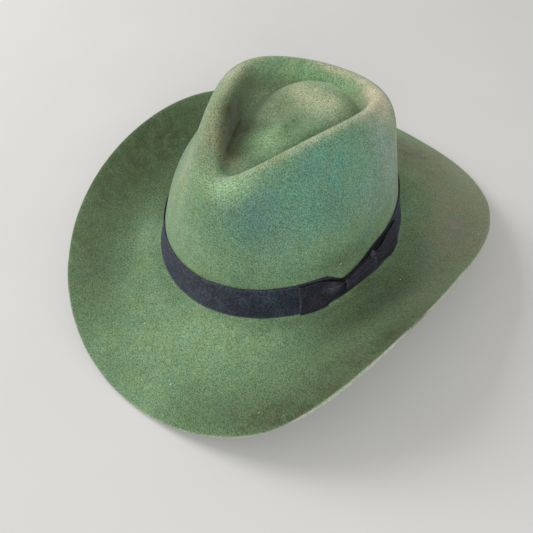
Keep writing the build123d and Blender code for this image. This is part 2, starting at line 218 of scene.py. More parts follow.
def felt_span(node):
    """A node's low and high (turn, mark, distance out). Out is below 0 inside the hat."""
    shape = merged_copy(node)
    corners = np.array([vert.co for vert in shape.verts])
    shape.free()
    corners = corners[:: max(1, len(corners) // SPAN_CORNERS)]
    angle = np.degrees(np.arctan2(corners[:, 1] - MIDDLE.y, corners[:, 0] - MIDDLE.x))
    heading = np.exp(1j * np.radians(angle)).mean()
    centre = np.degrees(np.angle(heading)) % 360
    turn = centre + (angle - centre + 180) % 360 - 180
    rows = np.arange(0, len(MARKS), 2)
    lines = felt_top(turn[:, None] + 0 * MARKS[rows], MARKS[rows] + 0 * turn[:, None])
    nearest = rows[np.linalg.norm(lines - corners[:, None], axis=-1).argmin(axis=1)]
    mark = MARKS[nearest]
    out = ((corners - felt_top(turn, mark)) * felt_out(turn, mark)).sum(axis=-1)
    found = np.stack([turn, mark, out])
    return found.min(axis=1), found.max(axis=1)


WELL_UNDER = 10 * MM


def felt_thickness(turn, mark):
    """How thick the felt is at a place: a point well under it knows how far the bottom face is."""
    spot = on_felt(np.array([turn]), np.array([mark]), np.array([-WELL_UNDER]))[0]
    return WELL_UNDER - felt_tree.find_nearest(Vector(spot))[3]


FELT = felt_thickness(270.0, -40 * MM)
print("felt thickness, mm:", round(FELT / MM, 2))
for node in ("hat_band", "bow_wrap", "bow_front_loop", "sweatband"):
    ends = [list(np.round(end / (1, MM, MM), 1)) for end in felt_span(node)]
    print(node, "low and high turn, mark, out:", ends)

# %% [markdown]
# ## The felt
# The body is one sheet of felt, so it is one mesh: a ring of points that is drawn in from the
# brim's edge to the tip, ring by ring, with each ring laid on the felt's top face. The rings keep
# to the crest of the ridge, so that its fold stays crisp. Blocked felt is never quite even, so
# the bare parts get lumps a quarter of a millimetre high. A noise texture would only shade them.

# %% Find the crest of the ridge
CREST_FROM = 70 * MM
ISLAND = 62 * MM  # the crest lies at least this far from the tip


def crest_mark(turn_row):
    """The mark of the highest place between the wall and the island, for one turn."""
    inside = (MARKS > CREST_FROM) & (MARKS < TIP_MARK[turn_row] - ISLAND)
    return MARKS[inside][heights[turn_row, inside].argmax()]


CREST_MARK = blurred(np.array([crest_mark(row) for row in range(TURN_COUNT)]), EDGE_BLUR)
print("mark of the crest, mm:", CREST_MARK.min() / MM, "to", CREST_MARK.max() / MM)

# %% Trim the brim
# The brim was cut by hand: on the left its edge runs up to this far (turn, mm) inside the curve.
TRIM = ((303, 0), (312, 4.5), (322, 5.5), (341, 1.3), (3, 4.4), (28, 0),
        (46, 1.4), (60, 3.4), (80, 7.5), (96, 0))
trim_turns, trim_depths = np.array(TRIM).T
trim = np.interp(TURNS, trim_turns, trim_depths * MM, period=360)
EDGE_MARK = EDGE_MARK + blurred(trim, EDGE_BLUR)
print("most trimmed from the brim, mm:", round(trim.max() / MM, 1))

# %% Draw the felt in from the edge to the tip
FELT_TURNS = 300
BRIM_RINGS = 34
WALL_RINGS = 44
TOP_RINGS = 60
LAST_RING = 0.985  # where it lies, as a share of the way from the crest to the tip
EDGE_STEPS = (0, 0.5 * MM, 1.3 * MM)  # close rings at the edge carry its pale line


def ring_turns(count):
    return np.arange(count) * 360 / count


def at_turns(values, turns):
    """Values that are known for each whole turn, at other turns."""
    return np.interp(turns, TURNS, values, period=360)


def new_piece(name, shape, materials, smooth=True):
    """Turns a bmesh into an object with its materials."""
    mesh = bpy.data.meshes.new(name)
    shape.to_mesh(mesh)
    shape.free()
    piece = bpy.data.objects.new(name, mesh)
    bpy.context.scene.collection.objects.link(piece)
    mesh.polygons.foreach_set("use_smooth", [smooth] * len(mesh.polygons))
    for material in materials:
        mesh.materials.append(material)
    return piece


def ride_for(piece, node):
    """The piece stands for a node of the frame: it hangs from the root, and the node is hidden."""
    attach(piece, "root")
    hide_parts(node)


def drawn_in(turns, rings, lay, closing_mark):
    """A cup: each ring is extruded from the last one and laid at its marks. The tip closes it."""
    shape = bmesh.new()
    turn_layer = shape.verts.layers.float.new("turn")
    mark_layer = shape.verts.layers.float.new("mark")
    bmesh.ops.create_circle(shape, segments=len(turns), radius=1)
    ring, edges = list(shape.verts), list(shape.edges)
    for number, marks in enumerate(rings):
        if number:
            made = bmesh.ops.extrude_edge_only(shape, edges=edges)["geom"]
            edges = [item for item in made if isinstance(item, bmesh.types.BMEdge)]
            after = {vert for edge in edges for vert in edge.verts}
            ring = [next(edge.other_vert(vert) for edge in vert.link_edges
                         if edge.other_vert(vert) in after) for vert in ring]
        for vert, turn, mark, spot in zip(ring, turns, marks, lay(turns, marks)):
            vert.co = spot
            vert[turn_layer], vert[mark_layer] = turn, mark
    tip = lay(np.array([0.0]), np.array([closing_mark]))[0]
    bmesh.ops.pointmerge(shape, verts=ring, merge_co=Vector(tip))
    bmesh.ops.recalc_face_normals(shape, faces=shape.faces)
    return shape


LUMP = 0.25 * MM
LUMP_SIZE = 38 * MM
UNDER_RIBBON = (-6 * MM, 34 * MM)
LUMP_FADE = 8 * MM


def lumps(spots, marks):
    """Low lumps that fade out under the ribbon."""
    height = np.array([noise.noise(Vector(spot) / LUMP_SIZE) for spot in spots])
    clear = np.maximum(UNDER_RIBBON[0] - marks, marks - UNDER_RIBBON[1])
    return LUMP * height * np.clip(clear / LUMP_FADE, 0, 1)


def lay_felt(turn, mark):
    spots = felt_top(turn, mark)
    return spots + lumps(spots, mark)[:, None] * felt_out(turn, mark)


def felt_rings(turns):
    """Marks of each ring, from the brim's edge to beside the tip, for every turn."""
    edge, crest, tip = (at_turns(m, turns) for m in (EDGE_MARK, CREST_MARK, TIP_MARK))
    brim = [edge + step for step in EDGE_STEPS[:-1]]
    brim += [(edge + EDGE_STEPS[-1]) * share for share in np.linspace(1, 0, BRIM_RINGS)]
    wall = [crest * share for share in np.linspace(0, 1, WALL_RINGS)[1:]]
    top = [crest + (tip - crest) * share for share in np.linspace(0, LAST_RING, TOP_RINGS)[1:]]
    return brim + wall + top


felt_turns = ring_turns(FELT_TURNS)
felt_shape = drawn_in(felt_turns, felt_rings(felt_turns), lay_felt, HIGH_MARK)
print("felt faces:", len(felt_shape.faces))

# %% [markdown]
# ## Where the felt is worn, faded or stained, and where light and shade are painted on it
# Colour on old felt isn't even. The ridge is rubbed to beige, the side that met the sun is
# blue-green with slate patches, dust sits on the turned-up brim, and damp and hands darkened
# parts of it to olive. Some tones also paint light and shade into the colour: a grey-green
# painted sheen on the wall on the wearer's left, a painted highlight along the crown's edge
# there, painted shade on the brim beside the crown there and on the brim that curls up on the
# wearer's right, painted shade over a darker colour in the groove on that side, and a painted
# shadow along the ribbon's foot under the bow. Each tone is an attribute of the mesh, made of a
# few soft spots in felt coordinates. Painted pictures could do this too, but spots need no files
# and are easy to move.

# %% Make the tones
def bump(value, middle, reach):
    """1 at a value, and 0 well away from it."""
    return np.exp(-(((value - middle) / reach) ** 2))


def bump_at(turn, middle, reach):
    """1 at a turn, and 0 well away from it, the short way round."""
    return bump((turn - middle + 180) % 360, 180, reach)


def tone(turn, mark, spots):
    """Soft spots laid over each other. Each is (strength, turn, mark, turn reach, mark reach)."""
    clear = np.ones(len(turn))
    for strength, at_turn, at_mark, turn_reach, mark_reach in spots:
        spot = bump_at(turn, at_turn, turn_reach) * bump(mark / MM, at_mark, mark_reach)
        clear *= 1 - strength * spot
    return 1 - clear


TONES = {
    "teal": [
        (0.9, 318, 92, 30, 24), (0.85, 345, 100, 22, 26), (0.4, 318, 55, 42, 26),
        (0.5, 12, 84, 16, 26)],
    "slate": [
        (0.9, 291, 88, 11, 17), (0.5, 303, 70, 12, 16), (0.45, 335, 74, 9, 18),
        (0.3, 322, 104, 6, 8)],
    "light": [
        (0.8, 278, 100, 13, 12), (0.2, 258, 62, 16, 34), (0.85, 106, 119, 36, 15),
        (0.4, 232, -14, 14, 9), (0.2, 290, -12, 26, 14), (0.12, 262, -34, 22, 18),
        (0.55, 275, 158, 34, 16), (0.15, 313, 50, 22, 16), (0.4, 58, 150, 26, 14),
        (0.25, 328, -12, 16, 8)],
    # The narrow spot at turn 42 is a painted highlight along the crown's edge.
    "beige_and_highlight": [
        (0.9, 46, 108, 18, 12), (0.7, 100, 148, 52, 14), (0.2, 150, 180, 70, 22),
        (0.4, 50, 158, 30, 16), (0.25, 262, 126, 20, 9), (0.3, 243, 92, 14, 26),
        (0.3, 220, 113, 22, 7), (0.45, 42, 66, 7, 38), (0.6, 180, 121, 22, 6)],
    # A painted sheen: grey-green spots on the wall on the wearer's left.
    "painted_sheen": [(0.8, 26, 74, 13, 42), (0.3, 2, 60, 14, 22)],
    # Partly painted shade: the spots on the brim beside the crown on the wearer's left, on the brim
    # that curls up on the wearer's right, and in the groove. The other spots are the felt's darker
    # patches.
    "olive_and_shade": [
        (0.85, 185, -48, 46, 46), (0.62, 235, -62, 16, 26), (0.3, 322, -24, 14, 16),
        (0.85, 308, -78, 16, 13), (0.4, 298, -66, 14, 16), (0.72, 342, -24, 17, 18),
        (0.6, 8, -18, 24, 16), (0.9, 218, 140, 34, 11), (0.5, 334, 33, 18, 9)],
    "dust": [
        (0.85, 26, -44, 22, 22), (0.45, 50, -48, 20, 24), (0.35, 352, -55, 16, 16),
        (0.12, 140, 170, 60, 22), (0.6, 73, -48, 18, 24), (0.6, 30, -70, 32, 16),
        (0.5, 62, -68, 20, 18)],
    # The narrow spot at turn 345, along the ribbon's foot, is a painted shadow under the bow. The
    # spots in the groove on the wearer's right are partly painted shade over a darker colour.
    "umber_and_shade": [
        (0.97, 246, 129, 16, 16), (0.98, 224, 138, 23, 18), (0.92, 212, 157, 28, 14),
        (0.6, 256, 126, 9, 9), (0.95, 194, 146, 17, 13), (0.45, 165, 134, 14, 10),
        (0.6, 345, -1.0, 12, 2.0), (0.68, 74, -46, 20, 34), (0.12, 50, -56, 16, 18),
        (0.25, 210, -50, 30, 26), (0.2, 318, -72, 22, 12), (0.66, 335, -64, 17, 19),
        (0.36, 317, -54, 12, 18)],
    "buff": [(0.85, 52, 103, 17, 11), (0.5, 33, 115, 14, 5), (0.3, 92, 100, 40, 4)],
}
RUBBED_EVERYWHERE, RUBBED_MOST = 0.12, 0.8
RUBBED = ((0.5, 345, 62), (0.4, 172, 24), (0.3, 60, 40))  # more by this at a turn, with its reach
EDGE_PALE = 0.65


def ridge_wear(turn, mark):
    """How far the ridge is rubbed. Its outer side is a narrower line on the left than elsewhere."""
    beyond = (mark - at_turns(CREST_MARK, turn)) / MM
    left = bump_at(turn, 345, 62)
    line = np.where(beyond < 0, 3.4 * left + 6.0 * (1 - left), 4.0)
    rubbed = RUBBED_EVERYWHERE + sum(more * bump_at(turn, *place) for more, *place in RUBBED)
    return np.clip(rubbed, 0, RUBBED_MOST) * bump(beyond, 0, line)


def edge_wear(turn, mark):
    """The cut edge is rubbed pale, unevenly, for about a millimetre."""
    near = np.clip(1 - (mark - at_turns(EDGE_MARK, turn)) / EDGE_STEPS[-1], 0, 1)
    uneven = 0.75 + 0.25 * np.sin(np.radians(turn * 7)) * np.sin(np.radians(turn * 17 + 40))
    return EDGE_PALE * near * uneven


def tint(mesh):
    """Gives the mesh an attribute for each tone."""
    turn, mark = np.empty((2, len(mesh.vertices)), dtype=np.float32)
    mesh.attributes["turn"].data.foreach_get("value", turn)
    mesh.attributes["mark"].data.foreach_get("value", mark)
    tones = {name: tone(turn, mark, spots) for name, spots in TONES.items()}
    tones["beige_and_highlight"] = 1 - (1 - tones["beige_and_highlight"]) * (1 - ridge_wear(turn, mark))
    tones["rim"] = edge_wear(turn, mark)
    for name, values in tones.items():
        made = mesh.attributes.new(name, "FLOAT", "POINT")
        made.data.foreach_set("value", values.astype(np.float32))


print("tones:", ", ".join(TONES))

# %% [markdown]
# ## Finishes
# A finish is a tree of nodes. A class keeps the trees readable: it knows a short way to add each
# kind of node that they use. A finish is such a tree with a shader at its end, and a group is one
# that several finishes share.

# %% Helpers for finishes
class Nodes:
    """A tree of nodes. Whatever it adds takes sockets, which it links, or plain values."""

    def __init__(self, tree):
        self.tree = tree

    def put(self, value, socket):
        if isinstance(value, bpy.types.NodeSocket):
            self.tree.links.new(value, socket)
        else:
            socket.default_value = value

    def add(self, kind, inputs=None, **settings):
        made = self.tree.nodes.new(kind)
        for name, value in settings.items():
            setattr(made, name, value)
        for name, value in (inputs or {}).items():
            self.put(value, made.inputs[name])
        return made

    def math(self, operation, *values, clamp=False):
        inputs = dict(enumerate(values))
        return self.add("ShaderNodeMath", inputs, operation=operation, use_clamp=clamp).outputs[0]

    def plus(self, first, second):
        return self.math("ADD", first, second)

    def times(self, first, second, clamp=False):
        return self.math("MULTIPLY", first, second, clamp=clamp)

    def line(self, value, slope, start):
        """A value times a slope, plus a start."""
        return self.math("MULTIPLY_ADD", value, slope, start)

    def wave(self, angle):
        return self.math("ABSOLUTE", self.math("SINE", angle))

    def mixed(self, factor, first, second):
        """A colour between two colours."""
        inputs = {0: factor, 6: first, 7: second}
        settings = {"data_type": "RGBA", "blend_type": "MIX", "clamp_factor": True}
        return self.add("ShaderNodeMix", inputs, **settings).outputs[2]

    def shaded(self, colour, by):
        """A colour times a value, or times another colour."""
        inputs = {0: colour, 1: by}
        return self.add("ShaderNodeVectorMath", inputs, operation="MULTIPLY").outputs[0]

    def spread(self, value, low, high, to_low=0.0, to_high=1.0):
        """A value between low and high, spread smoothly over a new range."""
        inputs = {"Value": value, "From Min": low, "From Max": high}
        inputs |= {"To Min": to_low, "To Max": to_high}
        made = self.add("ShaderNodeMapRange", inputs, interpolation_type="SMOOTHSTEP")
        return made.outputs[0]

    def noise(self, vector, scale, detail=3.0, roughness=0.55, distortion=0.0):
        inputs = {"Vector": vector, "Scale": scale, "Detail": detail}
        inputs |= {"Roughness": roughness, "Distortion": distortion}
        return self.add("ShaderNodeTexNoise", inputs).outputs["Fac"]

    def cells(self, vector, scale, randomness=1.0):
        inputs = {"Vector": vector, "Scale": scale, "Randomness": randomness}
        return self.add("ShaderNodeTexVoronoi", inputs).outputs

    def parts(self, vector):
        return self.add("ShaderNodeSeparateXYZ", {"Vector": vector}).outputs

    def attribute(self, name, output="Fac"):
        return self.add("ShaderNodeAttribute", attribute_name=name).outputs[output]

    def place(self):
        return self.add("ShaderNodeTexCoord").outputs["Object"]

    def use(self, group, **inputs):
        """The outputs of a group."""
        return self.add("ShaderNodeGroup", inputs, node_tree=group).outputs


class Finish(Nodes):
    """A material. Its shader's constant values are set on the shader's own sockets."""

    def __init__(self, name, roughness, **constants):
        self.material = bpy.data.materials.new(name)
        self.material.use_nodes = True
        super().__init__(self.material.node_tree)
        self.shader = self.tree.nodes["Principled BSDF"].inputs
        self.shader["Roughness"].default_value = roughness
        for label, value in constants.items():
            self.shader[label.replace("_", " ")].default_value = value

    def colour(self, colour):
        self.put(colour, self.shader["Base Color"])

    def relief(self, height, distance, strength):
        inputs = {"Height": height, "Distance": distance, "Strength": strength}
        self.put(self.add("ShaderNodeBump", inputs).outputs[0], self.shader["Normal"])


def start_group(name, **inputs):
    """A new group of nodes, and the values that come into it."""
    nodes = Nodes(bpy.data.node_groups.new(name, "ShaderNodeTree"))
    for label, kind in inputs.items():
        nodes.tree.interface.new_socket(label, in_out="INPUT", socket_type=kind)
    return nodes, nodes.add("NodeGroupInput").outputs


def end_group(nodes, **values):
    """Puts values out of a group, each under its name, and gives back the group."""
    for label in values:
        nodes.tree.interface.new_socket(label, in_out="OUTPUT", socket_type="NodeSocketFloat")
    nodes.add("NodeGroupOutput", values)
    return nodes.tree


print("helpers ready")

# %% [markdown]
# Fur felt is a mat of short fibres. Seen from near, pale and dark fibres make a fine grain about
# a millimetre across. From further off there are clouds a few millimetres wide, and then slow
# changes of tone. One group makes all these layers, so that the face and the cut edge agree.

# %% The felt's grain, shared by its face and its cut edge
nodes, given = start_group("felt grain", Place="NodeSocketVector")
slow = nodes.noise(given["Place"], 22)
cloud = nodes.noise(given["Place"], 120, 4, 0.65)
grain = nodes.noise(given["Place"], 1150, 3, 0.7, 0.8)
fibre = nodes.noise(given["Place"], 2300, 3, 0.6, 2.0)
hue = nodes.noise(given["Place"], 58, 5, 0.7, 0.8)
nap = nodes.plus(nodes.times(grain, 0.7), nodes.times(fibre, 0.3))
layers = {"Slow": slow, "Cloud": cloud, "Hue": hue}
layers = {label: nodes.spread(value, 0.3, 0.7) for label, value in layers.items()}
felt_grain = end_group(nodes, **layers, Grain=nodes.spread(nap, 0.34, 0.66), Height=nap)
print("felt grain layers:", [*layers, "Grain", "Height"])

# %% The felt's face
SAGE_DEEP = (0.118, 0.200, 0.102, 1)
SAGE = (0.190, 0.302, 0.163, 1)
# Some tones paint light: the grey-green sheen tone is a painted sheen, the beige tone holds a
# painted highlight, and the olive and umber tones hold painted shade.
TONE_COLOURS = {
    "teal": (0.132, 0.285, 0.198, 1),
    "slate": (0.098, 0.200, 0.172, 1),
    "light": (0.310, 0.480, 0.265, 1),
    "painted_sheen": (0.262, 0.355, 0.310, 1),
    "olive_and_shade": (0.076, 0.106, 0.050, 1),
    "dust": (0.262, 0.260, 0.180, 1),
    "umber_and_shade": (0.053, 0.051, 0.020, 1),
    "beige_and_highlight": (0.458, 0.468, 0.300, 1),
    "buff": (0.690, 0.575, 0.420, 1),
    "rim": (0.440, 0.490, 0.385, 1),
}
YELLOWER, BLUER = (1.06, 1.00, 0.93, 1), (0.94, 1.00, 1.06, 1)
LINT = (0.75, 0.78, 0.66, 1)
DARKEST_FIBRE, FIBRE_RANGE = 0.50, 2.10  # the palest is the range less the darkest
DUST_IN_NAP = 0.25

felt_face = Finish("felt", 0.92, Specular_IOR_Level=0.15, Sheen_Weight=0.35,
                   Sheen_Roughness=0.45, Sheen_Tint=(0.72, 0.85, 0.66, 1))
place = felt_face.place()
layers = felt_face.use(felt_grain, Place=place)
sage = felt_face.plus(felt_face.times(layers["Slow"], 0.65), felt_face.times(layers["Cloud"], 0.35))
colour = felt_face.mixed(sage, SAGE_DEEP, SAGE)
broken = felt_face.line(layers["Cloud"], 0.5, 0.75)  # clouds break up the tones
for name, tone_colour in TONE_COLOURS.items():
    amount = felt_face.times(felt_face.attribute(name), broken, clamp=True)
    colour = felt_face.mixed(amount, colour, tone_colour)
colour = felt_face.shaded(colour, felt_face.mixed(layers["Hue"], YELLOWER, BLUER))
darkest = felt_face.line(felt_face.attribute("dust"), DUST_IN_NAP, DARKEST_FIBRE)
palest = felt_face.math("SUBTRACT", FIBRE_RANGE, darkest)
colour = felt_face.shaded(colour, felt_face.spread(layers["Grain"], 0.0, 1.0, darkest, palest))

# Lint: a few pale specks where a random point lies just at the surface.
specks = felt_face.cells(place, 62.0)
near_speck = felt_face.spread(specks["Distance"], 0.018, 0.034, 1.0, 0.0)
drawn = felt_face.add("ShaderNodeSeparateColor", {"Color": specks["Color"]}).outputs[0]
lint = felt_face.times(near_speck, felt_face.math("GREATER_THAN", drawn, 0.45))
felt_face.colour(felt_face.mixed(lint, colour, LINT))
felt_face.relief(layers["Height"], 0.45 * MM, 0.55)
print("felt tones:", len(TONE_COLOURS))

# %% The felt's cut edge
felt_cut = Finish("felt_cut", 0.95, Specular_IOR_Level=0.1, Sheen_Weight=0.25)
layers = felt_cut.use(felt_grain, Place=felt_cut.place())
colour = felt_cut.mixed(layers["Cloud"], (0.24, 0.27, 0.19, 1), (0.42, 0.46, 0.35, 1))
fibres = felt_cut.spread(layers["Grain"], 0.2, 0.9)
felt_cut.colour(felt_cut.mixed(fibres, colour, (0.54, 0.58, 0.47, 1)))
felt_cut.relief(layers["Height"], 0.6 * MM, 0.7)
print("cut edge ready")

# %% Make the felt piece
EDGE_SOFTNESS = 0.4 * MM


def thick(piece, thickness):
    """Gives a sheet its thickness, behind the face that shows."""
    solid = piece.modifiers.new("thickness", "SOLIDIFY")
    solid.thickness, solid.offset = thickness, -1
    return solid


felt = new_piece("felt_hat", felt_shape, [felt_face.material, felt_cut.material])
tint(felt.data)
thick(felt, FELT).material_offset_rim = 1
soften = felt.modifiers.new("cut edge", "BEVEL")
soften.width, soften.segments, soften.profile = EDGE_SOFTNESS, 2, 0.5
soften.limit_method, soften.angle_limit = "ANGLE", math.radians(60)
ride_for(felt, "felt_body")
print("felt corners before its thickness:", len(felt.data.vertices))

# %% [markdown]
# ## The ribbon
# Grosgrain is a ribbon whose thick weft makes ribs across it. It is made flat, as a grid with
# four columns of points to each rib, and is then laid on the felt. The ribs are real shape,
# because from near a picture of ribs looks flat. The threads between them are too fine for
# that, so the finish makes them, from an attribute that holds each point's place on the ribbon.

# %% Lay a flat strip on the felt
RIBBON = 0.6 * MM
RIB = 0.85 * MM
RIB_DEPTH = 0.16 * MM
COLUMNS_PER_RIB = 4
SELVEDGE = 0.8 * MM
RUN_POINTS = 721
SEAM = 0.002 * MM


def smooth_step(value, low, high):
    share = np.clip((value - low) / (high - low), 0, 1)
    return share * share * (3 - 2 * share)


def along_ring(start, end, mark):
    """Distances along the felt at one mark, and the turns that they belong to."""
    turns = np.linspace(start, end, RUN_POINTS)
    spots = felt_top(turns, np.full(len(turns), mark))
    steps = np.linalg.norm(np.diff(spots, axis=0), axis=1)
    return np.append(0, np.cumsum(steps)), turns


def laid_strip(columns, rows, size, lay, outside=True, tones=None):
    """A flat grid whose points lay() puts in place, from shares along and across it."""
    shape = bmesh.new()
    bmesh.ops.create_grid(shape, x_segments=columns, y_segments=rows, size=0.5)
    along, across = (np.array([vert.co for vert in shape.verts]) + 0.5)[:, :2].T
    weave = shape.verts.layers.float_vector.new("weave")
    for vert, x, y, spot in zip(shape.verts, along, across, lay(along, across)):
        vert.co = spot
        vert[weave] = (x * size[0], y * size[1], 0)
    for name, values in (tones(along, across) if tones else {}).items():
        layer = shape.verts.layers.float.new(name)
        for vert, value in zip(shape.verts, values):
            vert[layer] = value
    if not outside:
        bmesh.ops.reverse_faces(shape, faces=shape.faces)
    return shape


def closed(shape, tube=False):
    """Joins the seam of a strip that was rolled into a ring, or into a tube that faces out."""
    bmesh.ops.remove_doubles(shape, verts=shape.verts, dist=SEAM)
    if tube:
        bmesh.ops.recalc_face_normals(shape, faces=shape.faces)
    return shape


def ribs(along, across, size):
    """The height of the ribs at shares along and across a ribbon. Its selvedges have none."""
    up = across * size[1]
    inside = np.clip(np.minimum(up, size[1] - up) / SELVEDGE, 0, 1)
    return RIB_DEPTH * (np.abs(np.sin(np.pi * (along * size[0]) / RIB)) - 1) * inside


def columns_for(length):
    return round(length / RIB) * COLUMNS_PER_RIB


def wavy(x, y, seed, size):
    """Slow random waves from -1 to 1 over a piece, the same in every run."""
    return np.array([noise.noise(Vector((a / size, b / size, seed))) for a, b in zip(x, y)]) * 2


def sewn(name, shape, finish, thickness, node):
    """A thin piece that stands for a node of the frame."""
    piece = new_piece(name, shape, [finish])
    thick(piece, thickness)
    ride_for(piece, node)
    return piece


def in_mm(lengths):
    return [round(length / MM, 1) for length in lengths]


def declare(piece, size, held, *rests_on):
    """Prints how large a sheet is when it lies flat. What holds its shape and what it lies on are
    not used.
    """
    print(piece.name, "length and width, mm:", in_mm(size))


print("ribs on 100 mm of ribbon:", round(100 * MM / RIB))

# %% The grosgrain finish
THREAD = 0.24 * MM
# Paler ribbon, for fading and for a painted highlight.
FADE_AND_HIGHLIGHT = (0.096, 0.103, 0.130, 1)
# Near black, for painted shade.
SHADE_BLACK = (0.002, 0.002, 0.003, 1)

nodes, given = start_group("grosgrain weave", Weave="NodeSocketVector", Place="NodeSocketVector")
spot = nodes.parts(given["Weave"])
rib = nodes.wave(nodes.times(spot["X"], math.pi / RIB))
wobble = nodes.times(nodes.noise(given["Place"], 400, 2), 1.6)
rib_number = nodes.math("FLOOR", nodes.math("DIVIDE", spot["X"], RIB))
start = nodes.plus(wobble, nodes.times(rib_number, math.pi / 2))  # each rib is half a thread on
thread = nodes.wave(nodes.line(spot["Y"], math.pi / THREAD, start))
wear = nodes.spread(nodes.noise(given["Place"], 90, 4, 0.65), 0.42, 0.72)
fuzz = nodes.spread(nodes.noise(given["Place"], 720, 3, 0.7), 0.36, 0.64)
height = nodes.line(thread, 0.35, rib)
grosgrain_weave = end_group(nodes, Rib=rib, Thread=thread, Wear=wear, Fuzz=fuzz, Height=height)


def grosgrain(name, valley_shade, crest, worn, sheen):
    """A ribbon finish: rubbed in places, with painted shade between its ribs and in hollows."""
    ribbon = Finish(name, 0.62, Specular_IOR_Level=0.35, Sheen_Weight=sheen,
                    Sheen_Roughness=0.35, Sheen_Tint=(0.62, 0.66, 0.85, 1))
    weave = ribbon.attribute("weave", "Vector")
    layers = ribbon.use(grosgrain_weave, Weave=weave, Place=ribbon.place())
    # Painted shade: the valleys between the ribs get a darker colour than the crests.
    colour = ribbon.mixed(ribbon.spread(layers["Rib"], 0.25, 0.95), valley_shade, crest)
    rubbed = ribbon.times(layers["Wear"], layers["Thread"], clamp=True)
    colour = ribbon.mixed(rubbed, colour, worn)
    on_ribs = ribbon.line(layers["Rib"], 0.7, 0.3)
    # Folds and raised parts are mixed towards a paler colour, partly fading and partly a painted
    # highlight.
    faded = ribbon.times(ribbon.attribute("faded"), on_ribs, clamp=True)
    colour = ribbon.mixed(faded, colour, FADE_AND_HIGHLIGHT)
    colour = ribbon.shaded(colour, ribbon.line(layers["Fuzz"], 1.30, 0.34))
    # Painted shade: hollows, folded-under layers and what lies under the bow go near black.
    deep = ribbon.times(ribbon.attribute("deep"), 0.85)
    ribbon.colour(ribbon.mixed(deep, colour, SHADE_BLACK))
    ribbon.relief(layers["Height"], 0.12 * MM, 0.8)
    return ribbon.material


navy_ribbon = grosgrain(
    "ribbon", valley_shade=(0.009, 0.011, 0.018, 1), crest=(0.025, 0.031, 0.052, 1),
    worn=(0.050, 0.064, 0.092, 1), sheen=0.22)
# The bow's ribbon is a darker copy of the band's ribbon: painted shade on the bow.
shaded_bow_ribbon = grosgrain(
    "shaded_bow_ribbon", valley_shade=(0.006, 0.006, 0.010, 1), crest=(0.015, 0.014, 0.023, 1),
    worn=(0.032, 0.031, 0.045, 1), sheen=0.12)
print("ribbon finish ready, thread pitch mm:", THREAD / MM)

# %% [markdown]
# The band goes once round the foot of the crown and its ends meet under the bow. It is cut
# straight and is pulled tight, but a wall that leans in leaves its upper edge a little slack.

# %% The band
band_from, band_to = felt_span("hat_band")
band_foot, band_top = band_from[1], band_to[1]
wrap_from, wrap_to = felt_span("bow_wrap")
BAND_JOIN = (wrap_from[0] + wrap_to[0]) / 2
BAND_LIFT = band_to[2]
BAND_ROWS = 10
BAND_SLACK = 0.18 * MM
PINCH_FOOT, PINCH_TOP = 3.0 * MM, 9.5 * MM
PINCH_TURN = wrap_from[0] + 1.5  # the pull is strongest at the wrap's front end
PINCH_BEHIND, PINCH_IN_FRONT, PINCH_BELOW = 13, 6.5, 14  # degrees that the pull reaches
band_run, band_turns = along_ring(BAND_JOIN, BAND_JOIN + 360, (band_foot + band_top) / 2)
band_size = (band_run[-1], band_top - band_foot)


def pinched(turn, mark):
    """The stitches under the bow pull the ribbon together, its upper edge more than its lower."""
    share = (mark - band_foot) / (band_top - band_foot)
    behind = (turn - PINCH_TURN + 180) % 360 > 180
    reach = np.where(behind, PINCH_BEHIND, PINCH_IN_FRONT)
    foot = PINCH_FOOT * bump_at(turn, BAND_JOIN, PINCH_BELOW) * (1 - share)
    return mark + foot - PINCH_TOP * bump_at(turn, PINCH_TURN, reach) * share


def lay_band(along, across):
    distance, up = along * band_size[0], across * band_size[1]
    turn = np.interp(distance, band_run, band_turns)
    slack = BAND_SLACK * (1 + wavy(distance, up, seed=3.0, size=34 * MM)) * across**2
    out = BAND_LIFT + slack + ribs(along, across, band_size)
    return on_felt(turn, pinched(turn, band_foot + up), out)


def at_edges(share, reach):
    """1 at both edges of a strip, and 0 well inside it."""
    return bump(share, 0, reach) + bump(1 - share, 0, reach)


def tone_band(along, across):
    """The band is paler at the front and on the wearer's right, and has a painted shadow under the
    bow.
    """
    turn = np.interp(along * band_size[0], band_run, band_turns)
    side = (turn + 180) % 360 - 180
    # A painted shadow of the bow on the band.
    bow_shadow = smooth_step(side, -35, -24) * (1 - smooth_step(side, 2, 14))
    # Paler at the front and on the wearer's right, partly fading and partly a painted highlight.
    faded = 0.36 * bump_at(turn, 240, 26) + 0.22 * bump_at(turn, 272, 16)
    return {"deep": bow_shadow, "faded": faded + 0.25 * at_edges(across, 0.03) * (1 - bow_shadow)}


band_strip = laid_strip(columns_for(band_size[0]), BAND_ROWS, band_size, lay_band, tones=tone_band)
band = sewn("ribbon_band", band_strip, navy_ribbon, RIBBON, "hat_band")
declare(band, band_size, "stretched", "felt_hat")

# %% [markdown]
# ## The bow
# The bow is flat: two loops of the ribbon lie on a short backing, and one more length is wrapped
# tightly round their middle. A loop runs out from the wrap, folds, and comes back over itself.
# At the wrap the ribbon is bunched to half its width. Its lower part folds under and leaves a
# crease that runs out and down, and its upper edge dips into a small hollow. Bunching is
# written as two shapes, flat and bunched, with a share between them. A cloth simulation would
# place the folds by chance.

# %% The backing
def between(low, high, along, across):
    """The turn and mark at shares along and across a patch between two corners."""
    return low[0] + (high[0] - low[0]) * along, low[1] + (high[1] - low[1]) * across


def patch_size(low, high):
    """The length and width of a patch on the felt, measured along its middle."""
    run = along_ring(low[0], high[0], (low[1] + high[1]) / 2)[0]
    return run[-1], high[1] - low[1]


BACKING_ROWS = 6
backing_from, backing_to = felt_span("bow_backing")
backing_size = patch_size(backing_from, backing_to)


